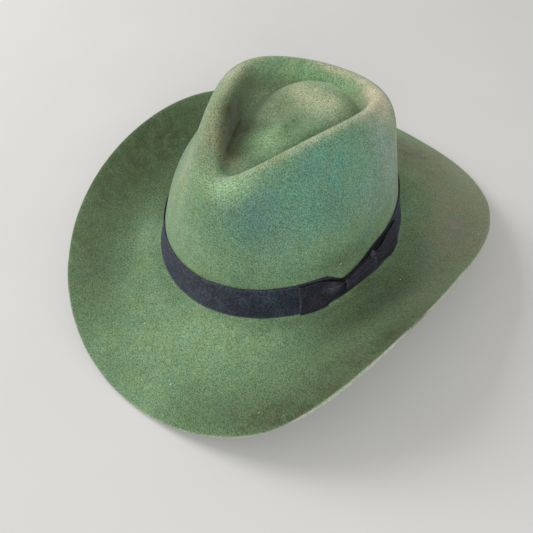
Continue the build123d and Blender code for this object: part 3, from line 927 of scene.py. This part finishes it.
def lay_backing(along, across):
    turn, mark = between(backing_from, backing_to, along, across)
    return on_felt(turn, pinched(turn, mark), backing_to[2] + ribs(along, across, backing_size))


# The whole backing gets painted shade, as it lies under the loops and the wrap.
backing_strip = laid_strip(columns_for(backing_size[0]), BACKING_ROWS, backing_size, lay_backing,
                           tones=lambda along, across: {"deep": np.ones(len(along))})
backing = sewn("bow_backing_ribbon", backing_strip, shaded_bow_ribbon, RIBBON, "bow_backing")
declare(backing, backing_size, "laid", "ribbon_band")

# %% The loops
WRAP_MIDDLE = (wrap_from[1] + wrap_to[1]) / 2
LOOP_TUCK = 5.0  # degrees that a loop runs on under the wrap
LOOP_ROWS = 30
LAYER = 0.75 * MM  # from the middle of one layer of the loop to the other
LOOP_SHEET = 0.45 * MM
TURN_ROUND = 0.45 * MM  # half of the length that the turn at the fold takes
NARROWER = 0.7 * MM
LOOP_REACH = 20 * MM  # near enough for the waves of its sag
FAN, SAG, UNEVEN = 0.28 * MM, 0.25 * MM, 0.4 * MM


def crease_at(share_out):
    """How far across the loop the crease runs: high at the wrap, and at the edge further out."""
    return 0.40 - 0.46 * share_out


def loop_shape(share_out, across, seed, waist, curl, puff, drop):
    """Mark and lift of a loop's outer layer. share_out is 0 at the wrap and 1 at the fold."""
    bunch = 1 - smooth_step(share_out, -0.05, 0.66)
    flat = band_foot - drop + across * (band_size[1] + drop - NARROWER)
    dip = 1 - smooth_step(share_out, 0.02, 0.30)
    curled = curl * dip * smooth_step(across, 0.7, 1.0)
    bunched = waist[0] + across * (waist[1] - waist[0]) - curled
    crease = crease_at(share_out)
    folded_under = smooth_step(across, crease - 0.03, crease + 0.04)
    hollow = 1 - 0.95 * smooth_step(across, 0.74, 0.95) * dip
    clear_of_wrap = 0.2 + 0.8 * smooth_step(share_out, 0.0, 0.22)
    proud = puff * bunch**0.8 * folded_under * hollow * clear_of_wrap
    fan = FAN * np.sin(TAU * (3.4 * across + 0.5 * share_out) + seed) * bunch
    sag = SAG * wavy(share_out * LOOP_REACH, across * band_size[1], seed, size=9 * MM)
    return flat + (bunched - flat) * bunch, proud + fan + sag


def loop_tones(share_out, over, across, along, rubbed):
    """Folds and raised parts are paler, and what is folded under gets painted shade."""
    near = 1 - smooth_step(share_out, 0.1, 0.72)
    raised = smooth_step(across, crease_at(share_out), crease_at(share_out) + 0.1)
    dip = (1 - smooth_step(share_out, 0.0, 0.3)) * smooth_step(across, 0.76, 0.92)
    belly = bump(share_out, 0.30, 0.16) * bump(across, 0.66, 0.2)
    fold = bump(along, 0.5, 0.008)
    # Painted shade on the part folded under near the wrap, in the hollow by the upper edge, and on
    # the layer underneath.
    hidden = over * (0.95 * near * (1 - raised) + 0.9 * dip) + (1 - over)
    # A painted highlight on the raised belly and along the fold, and paler selvedges.
    faded = over * (rubbed * belly * raised + 0.2 * at_edges(across, 0.03)) + 0.75 * fold
    return {"deep": np.clip(hidden, 0, 1) * (1 - fold), "faded": np.clip(faded, 0, 1)}


def make_loop(name, node, forward, rubbed, **bend):
    """Lays a ribbon that starts under the wrap, turns round at the fold and comes back on top."""
    low, high = felt_span(node)
    fold, tuck = (low[0], high[0] + LOOP_TUCK) if forward else (high[0], low[0] - LOOP_TUCK)
    run, turns = along_ring(tuck, fold, WRAP_MIDDLE)
    reach = run[-1]
    hidden = reach * LOOP_TUCK / abs(fold - tuck)
    size = (2 * reach, band_size[1])

    def shares(along):
        distance = np.minimum(along, 1 - along) * 2 * reach
        over = smooth_step(along, 0.5 - TURN_ROUND / reach, 0.5 + TURN_ROUND / reach)
        return distance, over, np.clip((distance - hidden) / (reach - hidden), 0, 1)

    def lay(along, across):
        distance, over, share_out = shares(along)
        uneven = UNEVEN * np.sin(TAU * across * 1.3 + bend["seed"])
        turn = np.interp(distance + uneven * smooth_step(share_out, 0.6, 1.0), run, turns)
        mark, proud = loop_shape(share_out, across, **bend)
        top = low[2] + LOOP_SHEET + LAYER * over + proud * over
        return on_felt(turn, mark, top + ribs(along, across, size))

    def tones(along, across):
        distance, over, share_out = shares(along)
        return loop_tones(share_out, over, across, along, rubbed)

    strip = laid_strip(columns_for(size[0]), LOOP_ROWS, size, lay, outside=not forward, tones=tones)
    piece = sewn(name, strip, shaded_bow_ribbon, LOOP_SHEET, node)
    declare(piece, size, "folded", "bow_backing_ribbon")


# A waist holds the marks of a loop's two edges at the wrap.
# rubbed sets how strong the painted highlight is on a loop's raised belly.
make_loop("bow_loop_front", "bow_front_loop", forward=True, rubbed=0.6, seed=1.0,
          waist=(9.8 * MM, 19.5 * MM), curl=3.4 * MM, puff=2.8 * MM, drop=0.7 * MM)
make_loop("bow_loop_rear", "bow_rear_loop", forward=False, rubbed=0.06, seed=4.0,
          waist=(10.2 * MM, 22.6 * MM), curl=0.6 * MM, puff=2.2 * MM, drop=-2.6 * MM)

# %% The wrap
WRAP_ROWS = 60
WRAP_PROUD = 0.5 * MM
WRAP_FOOT, WRAP_FRONT_TOP, WRAP_REAR_TOP = 9.6 * MM, 18.0 * MM, 22.3 * MM  # marks of its sides
WRAP_FLARE, WRAP_RAGGED, WRAP_FOLDS = 3.6 * MM, 0.8 * MM, 0.2 * MM
WRAP_WAY_ROUND = 1.85  # the length round it, over its height and depth together
WRAP_CORNERS = (0.62, 0.55)  # the lower, the squarer its corners are, along the felt and out
CROWN_RADIUS = 95 * MM  # near enough to turn a small distance into degrees
wrap_run = along_ring(wrap_from[0], wrap_to[0], WRAP_MIDDLE)[0][-1]
wrap_depth = wrap_to[2] - wrap_from[2] + WRAP_PROUD
wrap_round = WRAP_WAY_ROUND * ((WRAP_FRONT_TOP + WRAP_REAR_TOP) / 2 - WRAP_FOOT + wrap_depth)
wrap_size = (wrap_round, wrap_run)


def squarish(value, power):
    """Rounds off a sine or a cosine towards a flatter, squarer wave."""
    return np.sign(value) * np.abs(value) ** power


def lay_wrap(along, across):
    """Goes once round the bunched loops. Along is round the bow, and across is along the band."""
    angle = TAU * along
    upper = WRAP_FRONT_TOP + (WRAP_REAR_TOP - WRAP_FRONT_TOP) * smooth_step(across, 0.0, 0.6)
    upper = upper + WRAP_FLARE * smooth_step(across, 0.86, 1.0)
    up, away = squarish(np.sin(angle), WRAP_CORNERS[0]), squarish(np.cos(angle), WRAP_CORNERS[1])
    mark = (WRAP_FOOT + upper) / 2 + (upper - WRAP_FOOT) / 2 * up
    middle = (wrap_from[2] + wrap_to[2] + WRAP_PROUD) / 2
    pulled = 1 - 0.07 * np.sin(math.pi * across)
    folds_over = WRAP_FOLDS * np.sin(TAU * 5 * along + 2.2 * across)
    ragged = WRAP_RAGGED * wavy(along * wrap_round, across * 0 + 0.1, seed=8.0, size=4 * MM)
    ragged = ragged * smooth_step(across, 0.84, 1.0)
    out = middle + wrap_depth / 2 * away * pulled + folds_over
    turn = wrap_from[0] + (wrap_to[0] - wrap_from[0]) * across + np.degrees(ragged / CROWN_RADIUS)
    return on_felt(turn, mark, out + 0.6 * ribs(along, across, wrap_size))


def tone_wrap(along, across):
    """The wrap is paler on its front and at its two selvedges, and has painted shade underneath."""
    facing, upper = np.cos(TAU * along), np.sin(TAU * along)
    flared = bump(across, 0.95, 0.07) * smooth_step(upper, 0.2, 0.9)
    uneven = 0.04 + 0.06 * wavy(along * wrap_round, across * wrap_run, seed=3.0, size=6 * MM)
    edges = 0.65 * at_edges(across, 0.035) * smooth_step(facing, -0.3, 0.3)
    # Paler on its front, at the selvedges and at the flared end: partly wear, partly a painted
    # highlight.
    faded = smooth_step(facing, 0.0, 0.6) * uneven + edges + 0.5 * flared
    # Painted shade on the wrap's lower side.
    return {"deep": 0.9 * smooth_step(-upper, 0.72, 0.98), "faded": np.clip(faded, 0, 1)}


wrap_strip = laid_strip(columns_for(wrap_round), WRAP_ROWS, wrap_size, lay_wrap, tones=tone_wrap)
wrap = sewn("bow_wrap_ribbon", closed(wrap_strip, tube=True), shaded_bow_ribbon, LOOP_SHEET, "bow_wrap")
declare(wrap, wrap_size, "folded", "bow_loop_front", "bow_loop_rear")

# %% [markdown]
# ## The lining
# The crown is lined with satin: a strip for the side and an oval tip, joined by piping. Satin is
# thin and is cut a little too large, so it hangs in soft wrinkles, upright at the side where the
# strip is gathered. The strip and the tip show their inner face, so they get their thickness
# towards the felt. Noise shapes the wrinkles, since only the inside of the crown ever shows them.

# %% A weave that several finishes share
nodes, given = start_group("plain weave", Weave="NodeSocketVector", Pitch="NodeSocketFloat")
spot = nodes.parts(given["Weave"])
waves = []
for axis in ("X", "Y"):
    thread_number = nodes.math("DIVIDE", spot[axis], given["Pitch"])
    waves.append(nodes.math("SINE", nodes.times(thread_number, math.pi)))
warp, weft = (nodes.math("ABSOLUTE", threads) for threads in waves)
over = nodes.spread(nodes.times(*waves), -0.6, 0.6)
plain_weave = end_group(nodes, Warp=warp, Over=over, Height=nodes.math("MAXIMUM", warp, weft))


def woven(name, pitch, colours, roughness, depth, by_plan=False, **constants):
    """A thin woven cloth. Its threads follow its own weave attribute, or the plan of the hat."""
    cloth = Finish(name, roughness, **constants)
    dark, light, faded = colours
    place = cloth.place()
    threads = place if by_plan else cloth.attribute("weave", "Vector")
    layers = cloth.use(plain_weave, Weave=threads, Pitch=pitch)
    paler = cloth.line(layers["Over"], 0.5, cloth.times(layers["Warp"], 0.5))
    fading = cloth.spread(cloth.noise(place, 45, 4, 0.6), 0.4, 0.75, 0.0, 0.7)
    cloth.colour(cloth.mixed(fading, cloth.mixed(paler, dark, light), faded))
    cloth.relief(layers["Height"], depth, 0.7)
    return cloth.material


SATIN_THREAD, SATIN_DEPTH = 0.22 * MM, 0.05 * MM
SATIN_DARK, SATIN_LIGHT = (0.24, 0.195, 0.135, 1), (0.36, 0.30, 0.215, 1)
satin_shine = {"Sheen_Weight": 0.3, "Sheen_Roughness": 0.3}
satin = woven(
    "lining_satin", SATIN_THREAD, (SATIN_DARK, SATIN_LIGHT, (0.30, 0.235, 0.15, 1)), 0.36,
    SATIN_DEPTH, Anisotropic=0.5, **satin_shine)
tip_satin = woven(
    "lining_tip_satin", SATIN_THREAD, (SATIN_DARK, SATIN_LIGHT, (0.31, 0.24, 0.15, 1)), 0.36,
    SATIN_DEPTH, by_plan=True, **satin_shine)
piping_satin = woven(
    "piping_satin", 0.25 * MM,
    ((0.035, 0.058, 0.036, 1), (0.065, 0.10, 0.065, 1), (0.06, 0.08, 0.05, 1)), 0.38,
    SATIN_DEPTH, **satin_shine)
print("satin finishes: side, tip, piping")

# %% The side of the lining
CLOTH = 0.2 * MM
RING_COLUMNS = 420
SIDE_ROWS = 26
BACK = 90  # what goes round the inside starts and ends at the back
CROWN_REACH = 85 * MM
LEATHER_EDGE = (42 * MM, 50 * MM)  # the side is flat behind the leather, and free above it
SIDE_WRINKLE = 1.5 * MM


def folds(turn, mark, round_size, up_size, seed):
    """Soft folds from 0 to 1 that close up without a step after a full turn."""
    angle = np.radians(turn)
    x, y = np.cos(angle) * CROWN_REACH / round_size, np.sin(angle) * CROWN_REACH / round_size
    waves = np.array([noise.noise(Vector(spot)) for spot in zip(x, y, mark / up_size + seed)])
    return smooth_step(waves, -0.1, 0.65)


def held_at_ends(across, share):
    """0 at both edges of a strip, where it is sewn, and 1 between them."""
    return smooth_step(across, 0, share) * smooth_step(1 - across, 0, share)


def ring_size(low, high):
    """The length and width of a strip that goes once round the hat."""
    run = along_ring(BACK, BACK + 360, (low[1] + high[1]) / 2)[0]
    return run[-1], high[1] - low[1]


side_from, side_to = felt_span("lining_side")
side_size = ring_size(side_from, side_to)


def lay_side(along, across):
    turn = BACK + 360 * along
    mark = side_from[1] + across * side_size[1]
    free = held_at_ends(across, 0.16) * smooth_step(mark, *LEATHER_EDGE)
    wrinkle = SIDE_WRINKLE * folds(turn, mark, round_size=7 * MM, up_size=70 * MM, seed=2.0) * free
    return on_felt(turn, mark, side_from[2] - wrinkle)


side_strip = closed(laid_strip(RING_COLUMNS, SIDE_ROWS, side_size, lay_side, outside=False))
lining_side = sewn("lining_side_satin", side_strip, satin, CLOTH, "lining_side")
declare(lining_side, side_size, "gathered", "felt_hat")

# %% The tip of the lining
TIP_TURNS = 260
TIP_LOWER, TIP_UPPER = 22, 52  # rings up to the crest of the ridge, and from there to the tip
TIP_LAST_RING = 0.98
TIP_SLACK = 0.4 * MM  # the tip hangs this far clear of the felt
TIP_WRINKLE = 1.3 * MM
TIP_FOLD, TIP_STRETCH, TIP_SEED = 15 * MM, 0.6, 6.0  # its folds are longer front to back
TIP_HELD = (1 * MM, 14 * MM)
tip_from = felt_span("lining_tip")[0]


def lay_tip(turn, mark):
    """The tip's folds go by the plan of the hat, because turns crowd together at its middle."""
    inside = smooth_step(mark, *(tip_from[1] + held for held in TIP_HELD))
    plan = felt_top(turn, mark) / TIP_FOLD
    waves = np.array([noise.noise(Vector((x, y * TIP_STRETCH, TIP_SEED))) for x, y in plan[:, :2]])
    hang = (TIP_SLACK + TIP_WRINKLE * smooth_step(waves, -0.1, 0.6)) * inside
    return on_felt(turn, mark, side_from[2] - hang)


tip_turns = ring_turns(TIP_TURNS)
crest, tip = at_turns(CREST_MARK, tip_turns), at_turns(TIP_MARK, tip_turns)
lower = [tip_from[1] + (crest - tip_from[1]) * share for share in np.linspace(0, 1, TIP_LOWER)]
upper = [crest + (tip - crest) * share for share in np.linspace(0, TIP_LAST_RING, TIP_UPPER)[1:]]
tip_shape = drawn_in(tip_turns, lower + upper, lay_tip, HIGH_MARK)
bmesh.ops.reverse_faces(tip_shape, faces=tip_shape.faces)
tip_area = sum(face.calc_area() for face in tip_shape.faces)
lining_tip = sewn("lining_tip_satin", tip_shape, tip_satin, CLOTH, "lining_tip")

# %% The piping
TUBE_SIDES = 14
PIPING_COLUMNS = 840
GATHERS, GATHER_CLUSTERS = 105, 9
GATHER_DEPTH = 0.05  # as a share of the piping's radius


def ring_tube(node, gathered=0.0, columns=RING_COLUMNS):
    """A tube once round the hat, where a node has one. It may be gathered by a share."""
    low, high = felt_span(node)
    mark, out, radius = (low[1] + high[1]) / 2, (low[2] + high[2]) / 2, (high[2] - low[2]) / 2
    size = (ring_size(low, high)[0], TAU * radius)

    def lay(along, across):
        angle = TAU * across
        uneven = 2 * np.sin(TAU * GATHER_CLUSTERS * along)
        reach = radius * (1 + gathered * np.sin(TAU * GATHERS * along + uneven))
        turn = BACK + 360 * along
        return on_felt(turn, mark + reach * np.cos(angle), out + reach * np.sin(angle))

    print(node, "length and radius, mm:", in_mm((size[0], radius)))
    return closed(laid_strip(columns, TUBE_SIDES, size, lay), tube=True)


piping_shape = ring_tube("lining_piping", GATHER_DEPTH, PIPING_COLUMNS)
ride_for(new_piece("lining_piping_cord", piping_shape, [piping_satin]), "lining_piping")

# %% [markdown]
# ## The sweatband
# A leather strip runs round the inside of the crown's foot. A plastic reed in a woven tape
# stiffens its lower edge, and a row of stitches holds them together. Its joint at the back is
# covered with ribbon and a tiny bow. The strip isn't glued, so its upper edge stands off a little
# and waves. The reed and the stitches are hard or tiny, so the frame's own shapes stay and only
# get a finish.

# %% The leather finish
HANDLED = (2 * MM, 16 * MM)  # the leather is darkest up to here from its lower edge
TOOLED_LINE, TOOLED_WIDTH = 34.5 * MM, 0.45 * MM

leather = Finish("sweatband_leather", 0.48, Specular_IOR_Level=0.45, Sheen_Weight=0.05)
weave = leather.attribute("weave", "Vector")
up = leather.parts(weave)["Y"]
pores = leather.cells(weave, 900.0, 0.9)["Distance"]
creases = leather.noise(weave, 180, 4, 0.65, 1.2)
stain = leather.spread(leather.noise(leather.place(), 28, 4, 0.6), 0.35, 0.7)
colour = leather.mixed(stain, (0.235, 0.118, 0.058, 1), (0.16, 0.078, 0.038, 1))
between_pores = leather.spread(pores, 0.1, 0.7, 0.0, 0.45)
colour = leather.mixed(between_pores, colour, (0.115, 0.055, 0.028, 1))
handled = leather.spread(up, *HANDLED, 0.55, 0.0)
leather.colour(leather.mixed(handled, colour, (0.105, 0.052, 0.027, 1)))
from_line = leather.math("ABSOLUTE", leather.math("SUBTRACT", up, TOOLED_LINE))
grain = leather.line(pores, -0.5, leather.times(creases, 0.7))
height = leather.line(leather.spread(from_line, 0.0, TOOLED_WIDTH), 0.8, grain)
leather.relief(height, 0.18 * MM, 0.6)
leather.put(leather.spread(pores, 0.0, 0.8, 0.42, 0.6), leather.shader["Roughness"])
print("leather finish ready")

# %% The leather strip
LEATHER = 0.8 * MM
LEATHER_ROWS = 34
STANDS_OFF, WAVES = 0.5 * MM, 1.1 * MM
SKIVED = 0.35 * MM
JOINT = 100  # the turn of the leather's joint, where it is held flat
JOINT_FLAT, JOINT_FREE = 24, 60  # degrees from it: flat up to the first, free past the second
strip_from, strip_to = felt_span("sweatband")
strip_run, strip_turns = along_ring(BACK, BACK + 360, (strip_from[1] + strip_to[1]) / 2)
strip_size = ring_size(strip_from, strip_to)


def lay_leather(along, across):
    turn = np.interp(along * strip_size[0], strip_run, strip_turns)
    mark = strip_from[1] + across * strip_size[1]
    free = smooth_step(np.abs((turn - JOINT + 180) % 360 - 180), JOINT_FLAT, JOINT_FREE)
    off = STANDS_OFF + WAVES * folds(turn, mark, round_size=26 * MM, up_size=200 * MM, seed=9.0)
    skived = SKIVED * smooth_step(across, 0.97, 1.0)
    return on_felt(turn, mark, strip_from[2] - off * across**2.5 * free + skived)


strip = laid_strip(RING_COLUMNS, LEATHER_ROWS, strip_size, lay_leather, outside=False)
leather_strip = sewn("sweatband_leather", strip, leather.material, LEATHER, "sweatband")
declare(leather_strip, strip_size, "laid", "felt_hat")

# %% Reed, stitches and reed tape
def finish_node(node, finish):
    """A node of the frame keeps its shape and only gets a finish."""
    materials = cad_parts[node].data.materials
    materials.clear()
    materials.append(finish.material)


reed = Finish("reed_plastic", 0.3, Specular_IOR_Level=0.5, Transmission_Weight=0.35, IOR=1.49)
clouded = reed.noise(reed.place(), 160)
reed.colour(reed.mixed(clouded, (0.62, 0.57, 0.47, 1), (0.72, 0.68, 0.58, 1)))
reed.relief(clouded, 0.05 * MM, 0.4)
finish_node("sweatband_reed", reed)

waxed = Finish("waxed_thread", 0.42, Specular_IOR_Level=0.5, Sheen_Weight=0.2)
twist = {"Vector": waxed.place(), "Scale": 900.0, "Distortion": 1.5}
strands = waxed.add("ShaderNodeTexWave", twist, bands_direction="DIAGONAL").outputs["Fac"]
waxed.colour(waxed.mixed(strands, (0.22, 0.15, 0.09, 1), (0.42, 0.31, 0.20, 1)))
waxed.relief(strands, 0.08 * MM, 0.8)
finish_node("sweatband_stitches", waxed)

tape_weave = woven(
    "reed_tape_weave", 0.35 * MM,
    ((0.10, 0.05, 0.026, 1), (0.20, 0.11, 0.06, 1), (0.16, 0.09, 0.05, 1)), 0.8,
    0.12 * MM, Sheen_Weight=0.2)
sewn("reed_tape_tube", ring_tube("reed_tape"), tape_weave, CLOTH, "reed_tape")

# %% Seam ribbon and tag
INNER_SHEET = 0.25 * MM
SEAM_ROWS, TAG_ROWS = 40, 24
TAG_CURL = 0.5 * MM

inner_ribbon = grosgrain(
    "inner_ribbon", valley_shade=(0.010, 0.010, 0.010, 1), crest=(0.034, 0.034, 0.035, 1),
    worn=(0.05, 0.05, 0.05, 1), sheen=0.2)


def inner_patch(name, node, finish, rows, curl=0.0):
    """A small strip that lies on the leather and shows its inner face."""
    low, high = felt_span(node)
    size = patch_size(low, high)

    def lay(along, across):
        turn, mark = between(low, high, along, across)
        lifted = curl * smooth_step(across, 0.55, 1.0) * (0.4 + 0.6 * along)
        return on_felt(turn, mark, low[2] - lifted - ribs(along, across, size))

    strip = laid_strip(columns_for(size[0]), rows, size, lay, outside=False)
    return sewn(name, strip, finish, INNER_SHEET, node), size


seam_size = inner_patch("sweatband_seam_ribbon", "sweatband_seam_tape",
                        inner_ribbon, SEAM_ROWS)[1]
print("seam ribbon, mm:", in_mm(seam_size))

tag_weave = woven(
    "tag_weave", 0.4 * MM,
    ((0.55, 0.53, 0.46, 1), (0.78, 0.76, 0.68, 1), (0.62, 0.56, 0.44, 1)), 0.75,
    0.12 * MM, Sheen_Weight=0.2)
tag, tag_size = inner_patch("size_tag_label", "size_tag", tag_weave, TAG_ROWS, TAG_CURL)
declare(tag, tag_size, "laid", "sweatband_leather")

# %% The small bow
knot_from, knot_to = felt_span("sweatband_bow")
KNOT_TURN, KNOT_MARK, KNOT_OUT = (knot_from + knot_to) / 2
KNOT_HALF = (knot_to[1] - knot_from[1]) / 2
KNOT_DEPTH = knot_to[2] - knot_from[2]
KNOT_WIDTH = 1.6  # degrees from its middle to its side
KNOT_SHARE = 0.62  # its height and its depth, as shares of the bow's
KNOT_COLUMNS, KNOT_ROWS, SMALL_LOOP_ROWS = 40, 14, 12
SMALL_SHEET = 0.3 * MM


def small_loop(side):
    """One loop of the small bow. It leaves the knot, folds at its end and comes back on top."""
    reach = along_ring(knot_from[0], knot_to[0], KNOT_MARK)[0][-1] / 2

    def lay(along, across):
        away = 1 - np.abs(2 * along - 1)
        over = smooth_step(along, 0.42, 0.58)
        width = KNOT_HALF * (0.45 + 0.55 * smooth_step(away, 0.0, 0.75))
        turn = KNOT_TURN + side * (knot_to[0] - KNOT_TURN) * away
        mark = KNOT_MARK + (2 * across - 1) * width
        puff = 0.55 * np.sin(math.pi * np.clip(away, 0, 1)) * (2 * over - 1)
        lift = KNOT_DEPTH / 2 * np.clip((2 * over - 1) * 0.35 + puff, -1, 1)
        return on_felt(turn, mark, KNOT_OUT - lift)

    size = (2 * reach, 2 * KNOT_HALF)
    return laid_strip(columns_for(size[0]), SMALL_LOOP_ROWS, size, lay, outside=side < 0)


def small_knot():
    """A short tube round the middle of the small bow."""
    def lay(along, across):
        angle = TAU * along
        bulge = 1 - 0.12 * np.abs(2 * across - 1) ** 3
        mark = KNOT_MARK + KNOT_SHARE * KNOT_HALF * np.sin(angle) * bulge
        out = KNOT_OUT - KNOT_SHARE * KNOT_DEPTH * np.cos(angle) * bulge
        return on_felt(KNOT_TURN + KNOT_WIDTH * (2 * across - 1), mark, out)

    size = (4 * KNOT_HALF, 5 * MM)
    return closed(laid_strip(KNOT_COLUMNS, KNOT_ROWS, size, lay), tube=True)


for name, shape in {"loop_rear": small_loop(1), "loop_front": small_loop(-1),
                    "knot": small_knot()}.items():
    sewn(f"sweatband_bow_{name}", shape, inner_ribbon, SMALL_SHEET, "sweatband_bow")
print("small bow, mm deep:", round(KNOT_DEPTH / MM, 2))

# %% [markdown]
# ## Floor, light and camera
# A pale floor, one large soft lamp on the wearer's right, a weaker one in front of the bow, and a
# white world. Soft light from the side shows the ridge and the groove, and the fill keeps the
# wall readable.

# %% The floor
FLOOR_SIZE = 20
floor_shape = bmesh.new()
bmesh.ops.create_grid(floor_shape, x_segments=1, y_segments=1, size=FLOOR_SIZE)
plaster = Finish("floor", 0.85, Specular_IOR_Level=0.2)
faint = plaster.noise(plaster.place(), 9)
plaster.colour(plaster.mixed(faint, (0.70, 0.69, 0.67, 1), (0.74, 0.73, 0.71, 1)))
new_piece("floor", floor_shape, [plaster.material], smooth=False)
print("floor from its middle to a side, m:", FLOOR_SIZE)

# %% The lamps and the world
LAMP_AWAY = 2.0
WORLD_STRENGTH = 0.42


def area_light(name, azimuth, elevation, size, power):
    """A square lamp that looks at the hat. Azimuth is counted like a turn."""
    a, e = math.radians(azimuth), math.radians(elevation)
    away = Vector((math.cos(a) * math.cos(e), math.sin(a) * math.cos(e), math.sin(e)))
    light = bpy.data.lights.new(name, "AREA")
    light.size, light.energy = size, power
    lamp = bpy.data.objects.new(name, light)
    lamp.location = away * LAMP_AWAY
    lamp.rotation_euler = (-away).to_track_quat("-Z", "Y").to_euler()
    bpy.context.scene.collection.objects.link(lamp)


area_light("key", azimuth=188, elevation=38, size=1.0, power=21)
area_light("fill", azimuth=308, elevation=34, size=1.2, power=17)
world = bpy.data.worlds.new("studio")
world.use_nodes = True
background = world.node_tree.nodes["Background"].inputs
background["Color"].default_value = (1, 1, 1, 1)
background["Strength"].default_value = WORLD_STRENGTH
bpy.context.scene.world = world
print("lamps:", [light.name for light in bpy.data.lights])

# %% The camera
AZIMUTH, ELEVATION, ROLL = 41.691, 51.525, -3.425
DISTANCE = 441.465 * MM
TARGET = Vector((25.47, -50.02, 31.77)) * MM
LENS, SENSOR = 39.34, 36


def look(azimuth, elevation, roll, distance, target):
    """Where a camera stands that looks at a target from an azimuth and an elevation."""
    a, e, r = (math.radians(angle) for angle in (azimuth, elevation, roll))
    back = Vector((math.sin(a) * math.cos(e), -math.cos(a) * math.cos(e), math.sin(e)))
    right = (-back).cross(Vector((0, 0, 1))).normalized()
    up = right.cross(-back)
    side = right * math.cos(r) + up * math.sin(r)
    top = up * math.cos(r) - right * math.sin(r)
    stand = Matrix((side, top, back)).transposed().to_4x4()
    stand.translation = target + back * distance
    return stand


camera_data = bpy.data.cameras.new("camera")
camera_data.lens, camera_data.sensor_width = LENS, SENSOR
camera = bpy.data.objects.new("camera", camera_data)
bpy.context.scene.collection.objects.link(camera)
camera.matrix_world = look(AZIMUTH, ELEVATION, ROLL, DISTANCE, TARGET)
bpy.context.scene.camera = camera
bpy.context.scene.view_settings.view_transform = "Standard"
print("camera stands at, mm:", in_mm(camera.matrix_world.translation))
